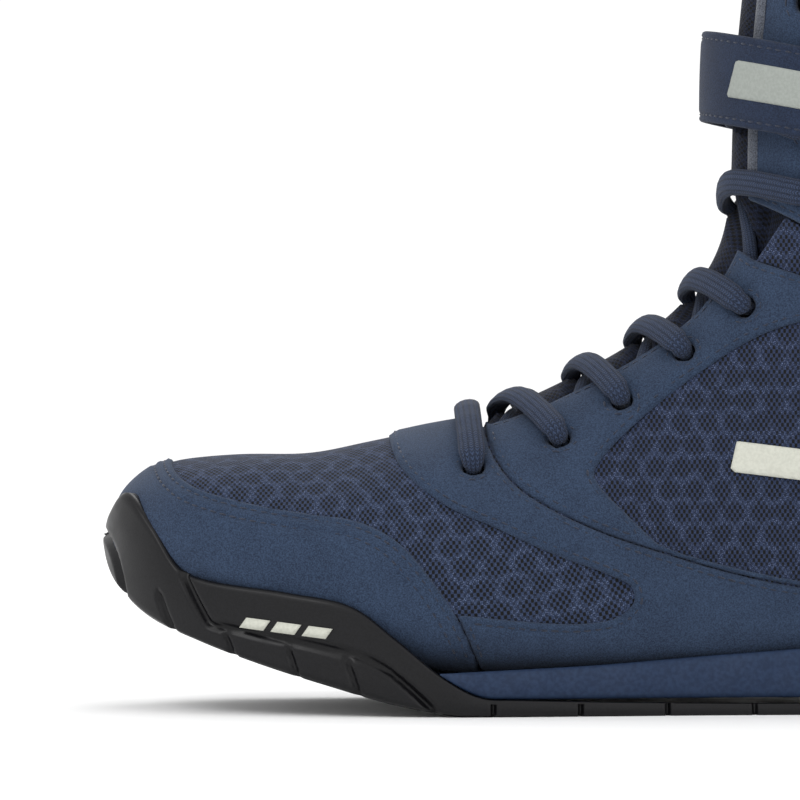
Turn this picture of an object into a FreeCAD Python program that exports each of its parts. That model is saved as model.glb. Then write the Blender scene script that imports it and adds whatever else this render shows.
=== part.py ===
"""Left high-top boxing boot, EU 43, as a parametric FreeCAD document.

Frame: +Z up, toe towards -X, lateral side towards -Y.  The origin is on the ground, under the middle of
the boot's length.  The upper is a family of skins: closed sections, each in a plane that holds a point of
the instep line, a point of the sole-and-heel line and the Y direction, lofted from the toe to the collar.
Every panel of the upper is the space between two skins, trimmed by an outline drawn from the side.
"""
import FreeCAD
import Part
import math
import os

V = FreeCAD.Vector

# name: (value, what it is), all in millimetres or degrees
DIMENSIONS = {
    "mesh_depth": (1.5, "outer mesh, inwards from the reference skin"),
    "overlay_low": (0.15, "clearance between the mesh and the microsuede"),
    "overlay_high": (1.5, "outer face of the microsuede"),
    "trim_high": (2.7, "outer face of a piece sewn on the microsuede"),
    "stiffener_high": (-1.65, "outer face of the toe puff and heel counter"),
    "stiffener_low": (-2.7, "inner face of the toe puff and heel counter"),
    "lining_high": (-2.85, "outer face of the lining foam"),
    "lining_low": (-4.8, "inner face of the lining foam"),
    "tongue_high": (-7.3, "outer face of the tongue"),
    "tongue_low": (-11.0, "inner face of the tongue"),
    "half_span": (90.0, "reach of a side outline's prism past the centre plane"),
    "seam_gap": (0.3, "clearance between panels that meet edge to edge"),
    "lace_radius": (1.8, "radius of the round lace"),
    "eyelet_radius": (3.1, "radius of a punched lace hole"),
    "lace_over": (3.9, "height of the lace's centre over the reference skin"),
    "lace_under": (-3.9, "height of the lace's centre under an eyestay"),
    "strap_width": (25.0, "height of the ankle strap"),
    "strap_tilt": (12.0, "the strap's fall towards the heel, in degrees"),
    "strap_low": (4.1, "inner face of the strap"),
    "strap_high": (6.3, "outer face of the strap"),
    "strap_bow": (5.6, "how much further the strap stands off at the front than at the sides"),
    "strap_pivot_x": (70.0, "where the strap leaves its sewn anchor"),
    "strap_tip_x": (99.0, "free end of the strap on the lateral side"),
    "strap_front_z": (181.0, "height of the strap's middle at the front"),
    "strap_front_x": (24.0, "place of the strap's middle at the front"),
    "groove_width": (1.3, "width of a tread groove"),
    "groove_depth": (2.4, "depth of a tread groove"),
    "groove_pitch": (24.5, "distance between tread grooves"),
    "collar_z": (229.0, "top of the shaft panels"),
    "tongue_fold_z": (236.0, "fold line of the tongue's tip"),
    "tongue_tip_z": (250.0, "top of the tongue"),
}

# The lasted shape, toe to collar.  Each row: instep point x, z; sole-and-heel point x, z; half-width on the
# lateral and on the medial side; sideways shift; share of the depth at which it is widest; squareness of
# the instep side and of the sole side.
STATIONS = [
    (-141.8, 53.0, -142.0, 48.0, 9.0, 9.0, 9.0, 0.50, 2.0, 2.0),
    (-140.0, 58.5, -140.5, 42.0, 18.0, 17.5, 9.0, 0.50, 2.1, 2.1),
    (-136.0, 63.5, -136.5, 36.5, 25.5, 24.5, 8.5, 0.50, 2.2, 2.2),
    (-128.0, 68.6, -128.5, 31.3, 33.0, 31.0, 7.5, 0.52, 2.3, 2.5),
    (-116.0, 71.2, -117.0, 27.0, 39.5, 37.0, 6.0, 0.54, 2.3, 2.7),
    (-98.0, 71.9, -99.0, 20.7, 44.8, 42.0, 4.5, 0.57, 2.3, 2.9),
    (-78.0, 73.6, -79.0, 15.0, 48.2, 45.5, 2.5, 0.60, 2.2, 3.1),
    (-56.0, 78.6, -56.0, 10.5, 50.0, 47.5, 1.0, 0.63, 2.1, 3.2),
    (-36.0, 82.6, -30.0, 9.0, 48.8, 46.5, 0.0, 0.64, 2.0, 3.4),
    (-14.0, 91.8, 0.0, 9.3, 44.6, 41.5, 0.0, 0.63, 2.0, 3.7),
    (6.0, 102.8, 32.0, 10.5, 40.0, 36.5, 0.0, 0.60, 2.0, 4.0),
    (20.0, 114.0, 62.0, 12.3, 37.0, 34.5, 0.0, 0.56, 2.0, 4.2),
    (29.0, 126.0, 90.0, 13.7, 36.2, 34.6, 0.0, 0.54, 2.1, 4.2),
    (33.0, 137.0, 114.0, 16.0, 36.2, 35.4, 0.0, 0.52, 2.1, 3.4),
    (34.3, 146.0, 131.0, 23.5, 36.4, 36.0, 0.0, 0.51, 2.1, 2.6),
    (34.8, 154.0, 138.5, 42.0, 36.6, 36.2, 0.0, 0.50, 2.1, 2.2),
    (35.0, 162.0, 139.0, 66.0, 36.8, 36.6, 0.0, 0.50, 2.1, 2.1),
    (35.3, 170.0, 135.5, 92.0, 36.8, 36.8, 0.0, 0.50, 2.1, 2.1),
    (35.8, 180.0, 131.5, 118.0, 36.5, 36.5, 0.0, 0.50, 2.1, 2.1),
    (36.8, 192.0, 131.8, 145.0, 36.6, 36.6, 0.0, 0.50, 2.1, 2.1),
    (38.2, 206.0, 134.5, 175.0, 37.4, 37.4, 0.0, 0.50, 2.1, 2.1),
    (39.5, 219.0, 137.0, 203.0, 38.6, 38.6, 0.0, 0.50, 2.1, 2.1),
    (41.0, 232.0, 139.0, 229.0, 40.0, 40.0, 0.0, 0.50, 2.1, 2.1),
    (42.8, 254.0, 141.0, 256.0, 41.5, 41.5, 0.0, 0.50, 2.1, 2.1),
]
SECTION_POINTS = 24
TOE_DEPTH = 55.0  # the skins move forward as well as outward over this length behind the toe

# Outlines in the side view, (x, z).  A point marked "corner" ends a smooth run; the others are passed
# through by a spline.
CORNER = "corner"
SOLE_UNDERSIDE = [(-139.5, 61.5), (-143.4, 56.0), (-145.3, 49.0), (-144.6, 42.0), (-141.0, 34.0),
                  (-132.5, 26.7),
                  (-118.0, 20.4), (-100.0, 14.0), (-79.0, 7.7), (-62.0, 3.0), (-44.0, 0.0)]
SIDEWALL_EDGE = [(-139.5, 61.5), (-131.4, 52.5), (-123.0, 40.3), (-116.0, 37.6), (-93.0, 34.4),
                 (-74.5, 30.6),
                 (-62.0, 21.6), (-48.0, 10.4), (-38.0, 5.2), (-28.0, 4.5)]
HEEL_EDGE = [(96.0, 4.5), (112.0, 9.0), (124.0, 19.0), (134.0, 28.5), (146.0, 33.0)]
PLAN_OUTLINE = [(-145.5, 9.0), (-141.0, -12.0), (-128.0, -29.0), (-110.0, -40.0), (-85.0, -48.4),
                (-56.0, -52.4),
                (-30.0, -50.6), (0.0, -45.4), (40.0, -39.5), (80.0, -38.2), (115.0, -36.4),
                (136.0, -25.0),
                (144.5, 0.0), (136.0, 25.0), (115.0, 35.6), (80.0, 36.8), (40.0, 36.4), (0.0, 41.5),
                (-30.0, 47.8), (-56.0, 51.2), (-85.0, 50.8), (-110.0, 46.4), (-128.0, 39.0),
                (-141.0, 28.0)]
TOE_SEAM = [(-127.5, 80.0), (-125.6, 69.0), (-120.4, 63.8), (-107.5, 59.6), (-89.6, 56.4),
            (-71.8, 53.8),
            (-61.0, 48.2), (-50.4, 36.0), (-43.2, 24.5), (-36.5, 8.0)]
BAND_FRONT = [(-64.6, 92.0), (-63.8, 77.0), (-60.3, 68.8), (-48.2, 58.8), (-34.3, 52.6), (-17.9, 45.2),
              (-2.2, 39.3), (4.0, 36.0), (5.0, 32.0), (0.7, 27.6), (-9.0, 25.7), (-25.0, 26.3),
              (-43.0, 28.2)]
THROAT_FRONT_X = -41.0
EYESTAY_SEAM = [(-38.6, 92.0), (-35.2, 74.5), (-30.5, 66.8), (-23.6, 60.9), (-5.0, 51.6), (10.7, 46.3),
                (32.0, 39.9), (51.3, 35.9), (80.0, 33.5)]
LACE_TAIL = [(56.5, 186.0), (58.5, 193.0), (59.0, 200.0), (59.0, 205.0)]
WINDOW = [(-6.6, 66.8, CORNER), (3.6, 79.4), (21.4, 93.8), (42.9, 107.0), (60.0, 111.0),
          (80.0, 108.0, CORNER),
          (92.0, 84.0), (98.0, 60.0), (99.0, 38.0, CORNER), (75.0, 35.6), (51.3, 37.4), (32.0, 41.4),
          (11.4, 47.9, CORNER), (2.0, 57.0)]
FOOT_COLLAR = [(24.0, 138.0), (40.0, 127.4), (62.0, 120.0), (88.0, 114.3), (112.0, 106.0),
               (150.0, 94.0)]
SHAFT_HEM = [(20.0, 152.0), (48.0, 140.0), (70.0, 127.0), (88.0, 117.6), (112.0, 117.2), (150.0, 120.0)]
EYELETS_FOOT = [(-40.0, 68.6), (-15.7, 76.6), (2.1, 87.2), (20.0, 101.0), (37.1, 114.0)]
EYELETS_SHAFT = [(56.0, 146.0), (55.0, 164.0), (55.0, 182.0)]
SPARE_EYELETS = [(53.0, 200.0), (54.0, 217.0)]
THROAT_HALF = [(-41.0, 15.0), (-30.0, 16.9), (-5.0, 15.6), (15.0, 13.8), (30.0, 14.2), (49.5, 16.4)]
LINING_FRONT = [(-46.0, 58.0), (-38.0, 61.0), (-14.0, 67.5), (4.0, 78.0), (22.0, 91.0), (43.0, 104.0)]


# --------------------------------------------------------------------------------------------- the skins
def station_line(row, offset, bow=0.0):
    """Instep point, sole-and-heel point and half-widths of one station, moved outward by offset."""
    top, back = V(row[0], 0, row[1]), V(row[2], 0, row[3])
    up = (top - back).normalize()
    toe_share = max(0.0, 1.0 - (row[0] - STATIONS[0][0]) / TOE_DEPTH)
    forward = V(-offset * toe_share, 0, 0)
    front = top + up * (offset + bow) + forward
    rear = back - up * offset + forward
    return front, rear, row[4] + offset, row[5] + offset


def section_point(row, angle, offset, bow=0.0):
    """Point of a section; angle 0 is on the instep line and a quarter turn is on the lateral side."""
    top, back, lateral, medial = station_line(row, offset, bow)
    shift, widest = row[6], row[7]
    square = row[8] if math.cos(angle) >= 0 else row[9]
    c, s = math.cos(angle), math.sin(angle)
    radius = (abs(c) ** square + abs(s) ** square) ** (-1.0 / square)
    c, s = c * radius, s * radius
    depth = (back - top).Length
    down = widest * depth * (1.0 - c) if c >= 0 else widest * depth - (1.0 - widest) * depth * c
    point = top + (back - top).normalize() * down
    point.y = shift - s * (lateral if s >= 0 else medial)
    return point


def skin_surface(offset, bow=0.0):
    """One surface through all sections; its first parameter is the angle, its second the station."""
    first = next(i for i,
                 row in enumerate(STATIONS) if row_depth(row) > 5 - 2.6 * offset or offset >= 0)
    turn = 2 * math.pi / SECTION_POINTS
    rings = [closed_curve([section_point(row, turn * i, offset, bow) for i in range(SECTION_POINTS)])
             for row in STATIONS[first:]]
    return surface_through(rings, [float(first + i) for i in range(len(rings))])


def surface_through(rings, along):
    """The surface that passes through closed curves of equal make; along gives the place of each."""
    columns = []
    for poles in zip(*[ring.getPoles() for ring in rings]):
        column = Part.BSplineCurve()
        column.interpolate(list(poles), Parameters=along)
        columns.append(column)
    surface = Part.BSplineSurface()
    surface.buildFromPolesMultsKnots([column.getPoles() for column in columns],
                                     rings[0].getMultiplicities(),
                                     columns[0].getMultiplicities(), rings[0].getKnots(),
                                     columns[0].getKnots(), True, False, 3, 3)
    return surface


def closed_curve(points):
    """A smooth closed curve that reaches one point at each whole step of its parameter."""
    curve = Part.BSplineCurve()
    curve.interpolate(points, PeriodicFlag=True, Parameters=[float(i) for i in range(len(points) + 1)])
    return curve


def row_depth(row):
    return math.dist((row[0], row[1]), (row[2], row[3]))


def closed_solid(surface):
    """The solid inside a tube-like surface, closed by a flat face at each end."""
    side = surface.toShape()
    low, high = surface.bounds()[2:]
    ends = [Part.Face(Part.Wire([surface.vIso(at).toShape()])) for at in (low, high)]
    shell = Part.makeShell([side] + ends)
    shell.sewShape(1e-5)
    solid = Part.makeSolid(shell)
    solid.fix(1e-6, 1e-6, 1e-6)
    return solid


REFERENCE = skin_surface(0.0)


def place_on_skin(x, z, side):
    """Parameters of the reference skin at a side-view point; side is -1 for lateral and 1 for medial."""
    best = None
    for i in range(1, 12):
        for j in range(1, len(STATIONS) - 1):
            around = i if side < 0 else SECTION_POINTS - i
            point = REFERENCE.value(around, j)
            miss = math.hypot(point.x - x, point.z - z)
            if best is None or miss < best[0]:
                best = (miss, float(around), float(j))
    u, v = best[1], best[2]
    for _ in range(25):
        here = REFERENCE.value(u, v)
        du = REFERENCE.value(u + 0.01, v) - here
        dv = REFERENCE.value(u, v + 0.01) - here
        det = du.x * dv.z - dv.x * du.z
        ex, ez = x - here.x, z - here.z
        u += max(-1.0, min(1.0, 0.01 * (ex * dv.z - dv.x * ez) / det))
        v += max(-1.0, min(1.0, 0.01 * (du.x * ez - ex * du.z) / det))
    return u, v


def lifted(u, v, height):
    """The point this high above the reference skin."""
    u = u % SECTION_POINTS
    return REFERENCE.value(u, v) + outward(u, v) * height


def outward(u, v):
    normal = REFERENCE.normal(u % SECTION_POINTS, v).normalize()
    row = mixed_row(v)
    middle = V((row[0] + row[2]) / 2, 0, (row[1] + row[3]) / 2)
    away = REFERENCE.value(u % SECTION_POINTS, v) - middle
    return normal if normal.dot(away) > 0 else normal * -1


def mixed_row(share):
    """A station between two rows; share runs from 0 at the toe up to the last row at the collar."""
    low = min(int(share), len(STATIONS) - 2)
    part = share - low
    return [a + (b - a) * part for a, b in zip(STATIONS[low], STATIONS[low + 1])]


# ------------------------------------------------------------------------------------- document helpers
class Boot:
    """The document, its sheet and the pieces made so far."""

    def __init__(self):
        self.doc = FreeCAD.newDocument("BoxingBoot")
        self.sheet = self.doc.addObject("Spreadsheet::Sheet", "Dimensions")
        for line, (alias, (value, meaning)) in enumerate(DIMENSIONS.items(), start=1):
            self.sheet.set(f"A{line}", alias)
            self.sheet.set(f"B{line}", str(value))
            self.sheet.set(f"C{line}", meaning)
            self.sheet.setAlias(f"B{line}", alias)
        self.doc.recompute()
        self.skins = {}
        self.parts = []

    def size(self, alias):
        return float(self.sheet.get(alias))

    def feature(self, label, shape):
        """A document object for a shape made with Part's own functions."""
        item = self.doc.addObject("Part::Feature", label)
        item.Shape = shape
        return item

    def skin(self, offset, bow=0.0):
        """The solid inside the skin at this offset, made once for each set of arguments."""
        key = (round(offset, 3), bow)
        if key not in self.skins:
            solid = closed_solid(skin_surface(offset, bow))
            self.skins[key] = self.feature(f"skin_{len(self.skins)}", solid)
        return self.skins[key]

    def combine(self, kind, label, base, tool):
        item = self.doc.addObject(kind, label)
        item.Base, item.Tool = base, tool
        return item

    def common(self, label, base, tool):
        return self.combine("Part::Common", label, base, tool)

    def cut(self, label, base, *tools):
        for number, tool in enumerate(tools):
            name = label if number == len(tools) - 1 else f"{label}_{number}"
            base = self.combine("Part::Cut", name, base, tool)
        return base

    def fuse(self, label, shapes):
        item = self.doc.addObject("Part::MultiFuse", label)
        item.Shapes = shapes
        return item

    def sketch(self, label, edges, upright=True):
        """A sketch of these edges, given as (x, z) curves upright or as (x, y) curves lying flat."""
        item = self.doc.addObject("Sketcher::SketchObject", label)
        if upright:
            item.Placement = FreeCAD.Placement(V(0, 0, 0), FreeCAD.Rotation(V(1, 0, 0), 90))
        for edge in edges:
            item.addGeometry(edge, False)
        return item

    def extrude(self, label, sketch, direction, forward, backward="0"):
        item = self.doc.addObject("Part::Extrusion", label)
        item.Base = sketch
        item.DirMode = "Custom"
        item.Dir = direction
        item.Solid = True
        item.setExpression("LengthFwd", forward)
        item.setExpression("LengthRev", backward)
        return item

    def side_prism(self, label, outline, side=0):
        """The outline swept across the boot: both sides, or only the lateral (-1) or medial (1) one."""
        sketch = self.sketch(f"{label}_outline", outline_edges(outline))
        gap = "Dimensions.seam_gap / 2"
        ways = {0: ("Dimensions.half_span", "Dimensions.half_span"),
                -1: ("Dimensions.half_span", f"-{gap}"), 1: (f"-{gap}", "Dimensions.half_span")}
        forward, backward = ways[side]
        return self.extrude(label, sketch, V(0, -1, 0), forward, backward)

    def plan_prism(self, label, inset, height):
        """The sole's outline from above, drawn in by inset and raised to a height."""
        sketch = self.sketch(f"{label}_outline", outline_edges(closed_plan(inset)), False)
        return self.extrude(label, sketch, V(0, 0, 1), height)

    def shell(self, label, outer, inner, prism, *trims, bow=0.0):
        """A panel: inside one skin, outside another, within a prism, less the trims."""
        block = self.common(f"{label}_block", prism, self.skin(outer, bow))
        return self.cut(label, block, self.skin(inner, bow), *trims)

    def keep(self, item, label=None):
        """Makes an object one of the boot's sub-parts."""
        item.Label = label or item.Name
        self.parts.append(item)
        return item


def outline_edges(outline):
    """Edges of a closed outline: splines through the smooth points, straight where a run has two."""
    start = next((i for i, p in enumerate(outline) if len(p) == 3), 0)
    points = outline[start:] + outline[:start] + [outline[start]]
    runs, run = [], [points[0]]
    for point in points[1:]:
        run.append(point)
        if len(point) == 3:
            runs.append(run)
            run = [point]
    if len(run) > 1:
        runs.append(run)
    edges = []
    for run in runs:
        flat = [V(p[0], p[1], 0) for p in run]
        if len(flat) == 2:
            edges.append(Part.LineSegment(flat[0], flat[1]))
        else:
            curve = Part.BSplineCurve()
            curve.interpolate(flat)
            edges.append(curve)
    return edges


def joined(*runs):
    """A closed outline from runs of points; the first and last point of each run are corners."""
    outline = []
    for run in runs:
        for number, point in enumerate(run):
            if outline and math.dist(outline[-1][:2], point[:2]) < 0.01:
                continue
            edge = number in (0, len(run) - 1)
            outline.append((point[0], point[1], CORNER) if edge else (point[0], point[1]))
    if math.dist(outline[0][:2], outline[-1][:2]) < 0.01:
        outline.pop()
    return outline


def moved(run, dx, dz):
    return [(x + dx, z + dz) for x, z in run]


def bottom_line(rise, last_x=124.0):
    """The lasted bottom from the toe to the heel, raised by rise."""
    return [(row[2], row[3] + rise) for row in STATIONS[2:15] if row[2] < last_x + 10]


# ------------------------------------------------------------------------------------------ the sole unit
def sole_unit(boot):
    plan = boot.plan_prism("sole_plan", 0.0, "150")
    lasted = boot.skin(boot.size("overlay_high") + 0.1)
    rubber_outline = joined(SOLE_UNDERSIDE, [(-44.0, 0.0), (126.0, 0.0)],
                            [(126.0, 0.0), (137.0, 2.2), (145.5, 8.5)],
                            [(145.5, 8.5), (146.0, 33.0)], HEEL_EDGE[::-1], [(96.0, 4.5), (-28.0, 4.5)],
                            SIDEWALL_EDGE[::-1])
    rubber = boot.common("outsole_block", boot.side_prism("outsole_profile", rubber_outline), plan)
    rubber = boot.cut("outsole_cup", rubber, lasted)
    grooves = boot.fuse("tread_grooves", [groove(boot, number) for number in range(7)])
    boot.keep(boot.cut("outsole", rubber, grooves))

    heel = [(96.0, 4.65), (112.0, 9.6), (124.0, 19.6), (134.0, 29.1)]
    foam_outline = joined([(-48.0, 10.95), (-38.0, 5.85), (-28.0, 4.65)],
                          [(-28.0, 4.65), (96.0, 4.65)], heel,
                          [heel[-1], (133.9, 29.8)],
                          [(133.9, 29.8), (118.0, 24.2), (90.0, 21.5), (51.0, 18.2),
                           (25.0, 16.3), (-4.0, 14.1), (-37.0, 12.5), (-48.0, 11.9)],
                          [(-48.0, 11.9), (-48.0, 10.95)])
    inner = boot.plan_prism("midsole_plan", 0.4, "150")
    foam = boot.common("midsole_block", boot.side_prism("midsole_profile", foam_outline), inner)
    boot.keep(boot.cut("midsole", foam, lasted))


def closed_plan(inset):
    """The sole's outline from above, drawn in by inset."""
    outline = []
    for x, y in PLAN_OUTLINE:
        outline.append((x * (1 - inset / 145.0), y - inset * math.copysign(1, y)))
    return [(outline[0][0], outline[0][1], CORNER)] + outline[1:]


def groove(boot, number):
    """One straight groove across the tread."""
    item = boot.doc.addObject("Part::Box", f"groove_{number}")
    item.setExpression("Length", "Dimensions.groove_width")
    item.setExpression("Width", "2 * Dimensions.half_span")
    item.setExpression("Height", "Dimensions.groove_depth + 1")
    item.setExpression("Placement.Base.x", f"-34.5 + {number} * Dimensions.groove_pitch")
    item.setExpression("Placement.Base.y", "-Dimensions.half_span")
    item.setExpression("Placement.Base.z", "-1")
    return item


def footbed(boot):
    """Strobel board and removable sockliner, each a slice of the inside of the shoe."""
    slices = (("strobel_board", -1.1, 1.9, -0.12, 0.2), ("sockliner", 2.1, 6.1, -6.3, 3.3))
    for label, low, high, offset, drop in slices:
        start = 1 if label == "sockliner" else 0
        under, over = bottom_line(low)[start:], bottom_line(high)[start:]
        outline = joined(under, [under[-1], over[-1]], over[::-1], [over[0], under[0]])
        inside = boot.feature(f"{label}_inside", closed_solid(skin_surface(offset)))
        inside.Placement.Base = V(0, 0, -drop)
        boot.keep(boot.common(label, boot.side_prism(f"{label}_profile", outline), inside))


# --------------------------------------------------------------------------------------------- the upper
def throat_cutter(boot, label, extra, first_x, last_x=49.5):
    """The open slot down the middle of the throat, widened by extra on each side."""
    half = [(max(x, first_x), y + extra) for x, y in THROAT_HALF]
    half[-1] = (last_x, half[-1][1])
    left = [(x, -y) for x, y in half]
    outline = joined(left, [left[-1], half[-1]], half[::-1], [half[0], left[0]])
    sketch = boot.sketch(f"{label}_outline", outline_edges(outline), False)
    sketch.Placement = FreeCAD.Placement(V(0, 0, 52), FreeCAD.Rotation())
    return boot.extrude(label, sketch, V(0, 0, 1), "220")


def eyelet_cutter(boot, label, places, side):
    """Punched holes through every layer, each square to the skin."""
    radius = boot.size("eyelet_radius")
    reach = 12.0
    holes = []
    for number, (x, z) in enumerate(places):
        u, v = place_on_skin(x, z, side)
        normal = outward(u, v)
        hole = boot.doc.addObject("Part::Cylinder", f"{label}_{number}")
        hole.setExpression("Radius", "Dimensions.eyelet_radius")
        hole.Height = 2 * reach
        hole.Placement = FreeCAD.Placement(lifted(u, v, 0.0) - normal * reach,
                                           FreeCAD.Rotation(V(0, 0, 1), normal))
        holes.append(hole)
    assert radius > boot.size("lace_radius")
    return boot.fuse(label, holes)


def forefoot(boot, holes):
    """Toe overlay, vamp mesh, toe puff and vamp lining."""
    overlay = (boot.size("overlay_high"), boot.size("overlay_low"))
    mesh = (0.0, -boot.size("mesh_depth"))
    gap = boot.size("seam_gap")
    toe = joined([(-150.0, 80.0), (-150.0, 33.0)],
                 [(-150.0, 33.0), (-132.0, 30.0), (-118.0, 26.5), (-100.0, 21.5), (-79.0, 16.0),
                  (-50.0, 11.6),
                  (-36.5, 8.0)],
                 TOE_SEAM[::-1], [(-127.5, 80.0), (-150.0, 80.0)])
    boot.keep(boot.shell("toe_overlay", *overlay, boot.side_prism("toe_overlay_profile", toe)))

    hem = [(-132.0, 36.0), (-118.0, 30.0), (-100.0, 24.0), (-79.0, 18.2), (-56.0, 13.8), (-30.0, 12.2)]
    vamp = joined([(-150.0, 85.0), (-150.0, 41.5)], [(-150.0, 41.5), (-139.0, 41.5)],
                  [(-139.0, 41.5), (-132.0, 36.0)], hem,
                  [(-30.0, 12.0), (6.0, 13.0)], [(6.0, 13.0), (8.0, 40.0)],
                  [(8.0, 40.0), (-34.0, 60.0), (-41.0, 72.0), (-42.0, 92.0)],
                  [(-42.0, 92.0), (-150.0, 85.0)])
    boot.keep(boot.shell("vamp_mesh", *mesh, boot.side_prism("vamp_mesh_profile", vamp), holes[-1],
                         holes[1]))

    puff = joined([(-150.0, 85.0), (-150.0, 43.0)], [(-150.0, 43.0), (-132.0, 43.0)],
                  [(-132.0, 43.0), (-118.0, 35.5), (-104.0, 30.2)],
                  [(-104.0, 30.2), (-104.0, 48.0)], [(-104.0, 48.0), (-108.0, 62.0), (-114.0, 85.0)],
                  [(-114.0, 85.0), (-150.0, 85.0)])
    boot.keep(boot.shell("toe_puff", boot.size("stiffener_high"), boot.size("stiffener_low"),
                         boot.side_prism("toe_puff_profile", puff)))

    lining = joined([(-150.0, 92.0), (-150.0, 43.0)], [(-150.0, 43.0), (-132.0, 43.0)],
                    [(-132.0, 43.0), (-118.0, 35.5), (-100.0, 28.8), (-79.0, 22.8), (-56.0, 18.2),
                     (-46.0 - gap, 17.2)],
                    [(-46.0 - gap, 17.2), (-46.0 - gap, 92.0)], [(-46.0 - gap, 92.0), (-150.0, 92.0)])
    boot.keep(boot.shell("vamp_lining", boot.size("lining_high"), boot.size("lining_low"),
                         boot.side_prism("vamp_lining_profile", lining)))


def foot_overlays(boot, throat, holes):
    """Forefoot band with the foxing, the eyestays, the heel overlay and the quarter meshes."""
    overlay = (boot.size("overlay_high"), boot.size("overlay_low"))
    mesh = (0.0, -boot.size("mesh_depth"))
    gap = boot.size("seam_gap")
    toe_seam = moved(TOE_SEAM[-3:], gap, 0)
    band = joined(BAND_FRONT, [(-43.0, 28.2), (-44.6, 28.0)],
                  [(-44.6, 28.0), toe_seam[1], (-37.6, 12.0)],
                  [(-37.6, 12.0), (-4.0, 12.9), (25.0, 13.6), (60.0, 14.6), (106.0, 16.5)],
                  [(106.0, 16.5), (104.0, 34.0)],
                  [(104.0, 34.0), (80.0, 33.2), (51.3, 35.6), (32.0, 39.6), (10.7, 46.0), (-5.0, 51.3),
                   (-23.8, 60.6), (-30.7, 66.5), (-35.5, 74.3), (-38.9, 92.0)],
                  [(-38.9, 92.0), (-64.6, 92.0)])
    boot.keep(boot.shell("forefoot_band", *overlay, boot.side_prism("forefoot_band_profile", band),
                         throat, holes[-1], holes[1]))

    window = WINDOW
    eyestay = joined(EYESTAY_SEAM[:-1], [(51.3, 35.9), (76.0, 34.0)],
                     [(76.0, 34.0), (101.0, 36.0)], [(101.0, 36.0), (100.5, 62.0), (94.0, 86.0), (84.0,
                                                                                                  111.0)],
                     [(84.0, 111.0), (62.0, 119.7), (46.5, 125.0), (39.8, 127.2)],
                     [(39.8, 127.2), (24.0, 138.0)],
                     [(24.0, 138.0), (-38.6, 92.0)])
    for side, name in ((-1, "lateral"), (1, "medial")):
        opening = boot.side_prism(f"window_{name}", window, side)
        prism = boot.side_prism(f"eyestay_{name}_profile", eyestay, side)
        boot.keep(boot.shell(f"eyestay_{name}", *overlay, prism, opening, throat, holes[side]))

        quarter = joined([(8.6, 40.3), (6.6, 13.2)], [(6.6, 13.2), (60.0, 15.0), (112.0, 20.0)],
                         [(112.0, 20.0), (134.0, 30.0), (150.0, 36.0)],
                         [(150.0, 36.0), (150.0, 94.0)], FOOT_COLLAR[::-1],
                         [(24.0, 138.0), (-41.4, 92.0)],
                         [(-41.4, 92.0), (-40.4, 72.2), (-33.4, 60.2), (8.6, 40.3)])
        prism = boot.side_prism(f"quarter_mesh_{name}_profile", quarter, side)
        boot.keep(boot.shell(f"quarter_mesh_{name}", *mesh, prism, throat, holes[side]))

        lining = joined([(-46.0, 58.0), (-46.0, 17.2)],
                        [(-46.0, 17.2), (6.0, 16.8), (60.0, 19.2), (112.0, 23.6)],
                        [(112.0, 23.6), (134.0, 33.0), (150.0, 38.0)], [(150.0, 38.0), (150.0, 94.0)],
                        FOOT_COLLAR[:1:-1], [(62.0, 120.0), (47.0, 122.0)],
                        [(47.0, 122.0), (43.0, 104.0)],
                        LINING_FRONT[::-1])
        prism = boot.side_prism(f"quarter_lining_{name}_profile", lining, side)
        boot.keep(boot.shell(f"quarter_lining_{name}", boot.size("lining_high"),
                             boot.size("lining_low"), prism))

    heel = joined([(104.4, 34.0), (106.4, 16.5)], [(106.4, 16.5), (122.0, 21.0), (134.0, 29.0),
                                                   (150.0, 34.0)],
                  [(150.0, 34.0), (150.0, 94.0)], [(150.0, 94.0), (112.0, 105.6), (88.0, 113.9)],
                  [(88.0, 113.9), (84.4, 111.2)], [(84.4, 111.2), (94.4, 86.2), (100.9, 62.2), (101.4,
                                                                                                36.2)],
                  [(101.4, 36.2), (104.4, 34.0)])
    boot.keep(boot.shell("heel_overlay", *overlay, boot.side_prism("heel_overlay_profile", heel)))

    counter = joined([(100.0, 22.2), (112.0, 24.2), (134.0, 33.5), (150.0, 38.5)],
                     [(150.0, 38.5), (150.0, 84.0)],
                     [(150.0, 84.0), (120.0, 80.0), (98.0, 52.0)], [(98.0, 52.0), (100.0, 22.2)])
    boot.keep(boot.shell("heel_counter", boot.size("stiffener_high"), boot.size("stiffener_low"),
                         boot.side_prism("heel_counter_profile", counter)))


def ankle_gusset(boot, wide):
    """The soft mesh band and its lining, which join foot and shaft and bend as the ankle flexes."""
    gap = boot.size("seam_gap")
    for label, first, high, low in (("ankle_gusset", 1, 0.0, -boot.size("mesh_depth")),
                                    ("gusset_lining", 2, boot.size("lining_high"),
                                     boot.size("lining_low"))):
        below, above = moved(FOOT_COLLAR, 0, gap)[first:], moved(SHAFT_HEM, 0, -0.7)[first:]
        outline = joined(below, [below[-1], above[-1]], above[::-1], [above[0], below[0]])
        boot.keep(boot.shell(label, high, low, boot.side_prism(f"{label}_profile", outline), wide))


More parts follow.
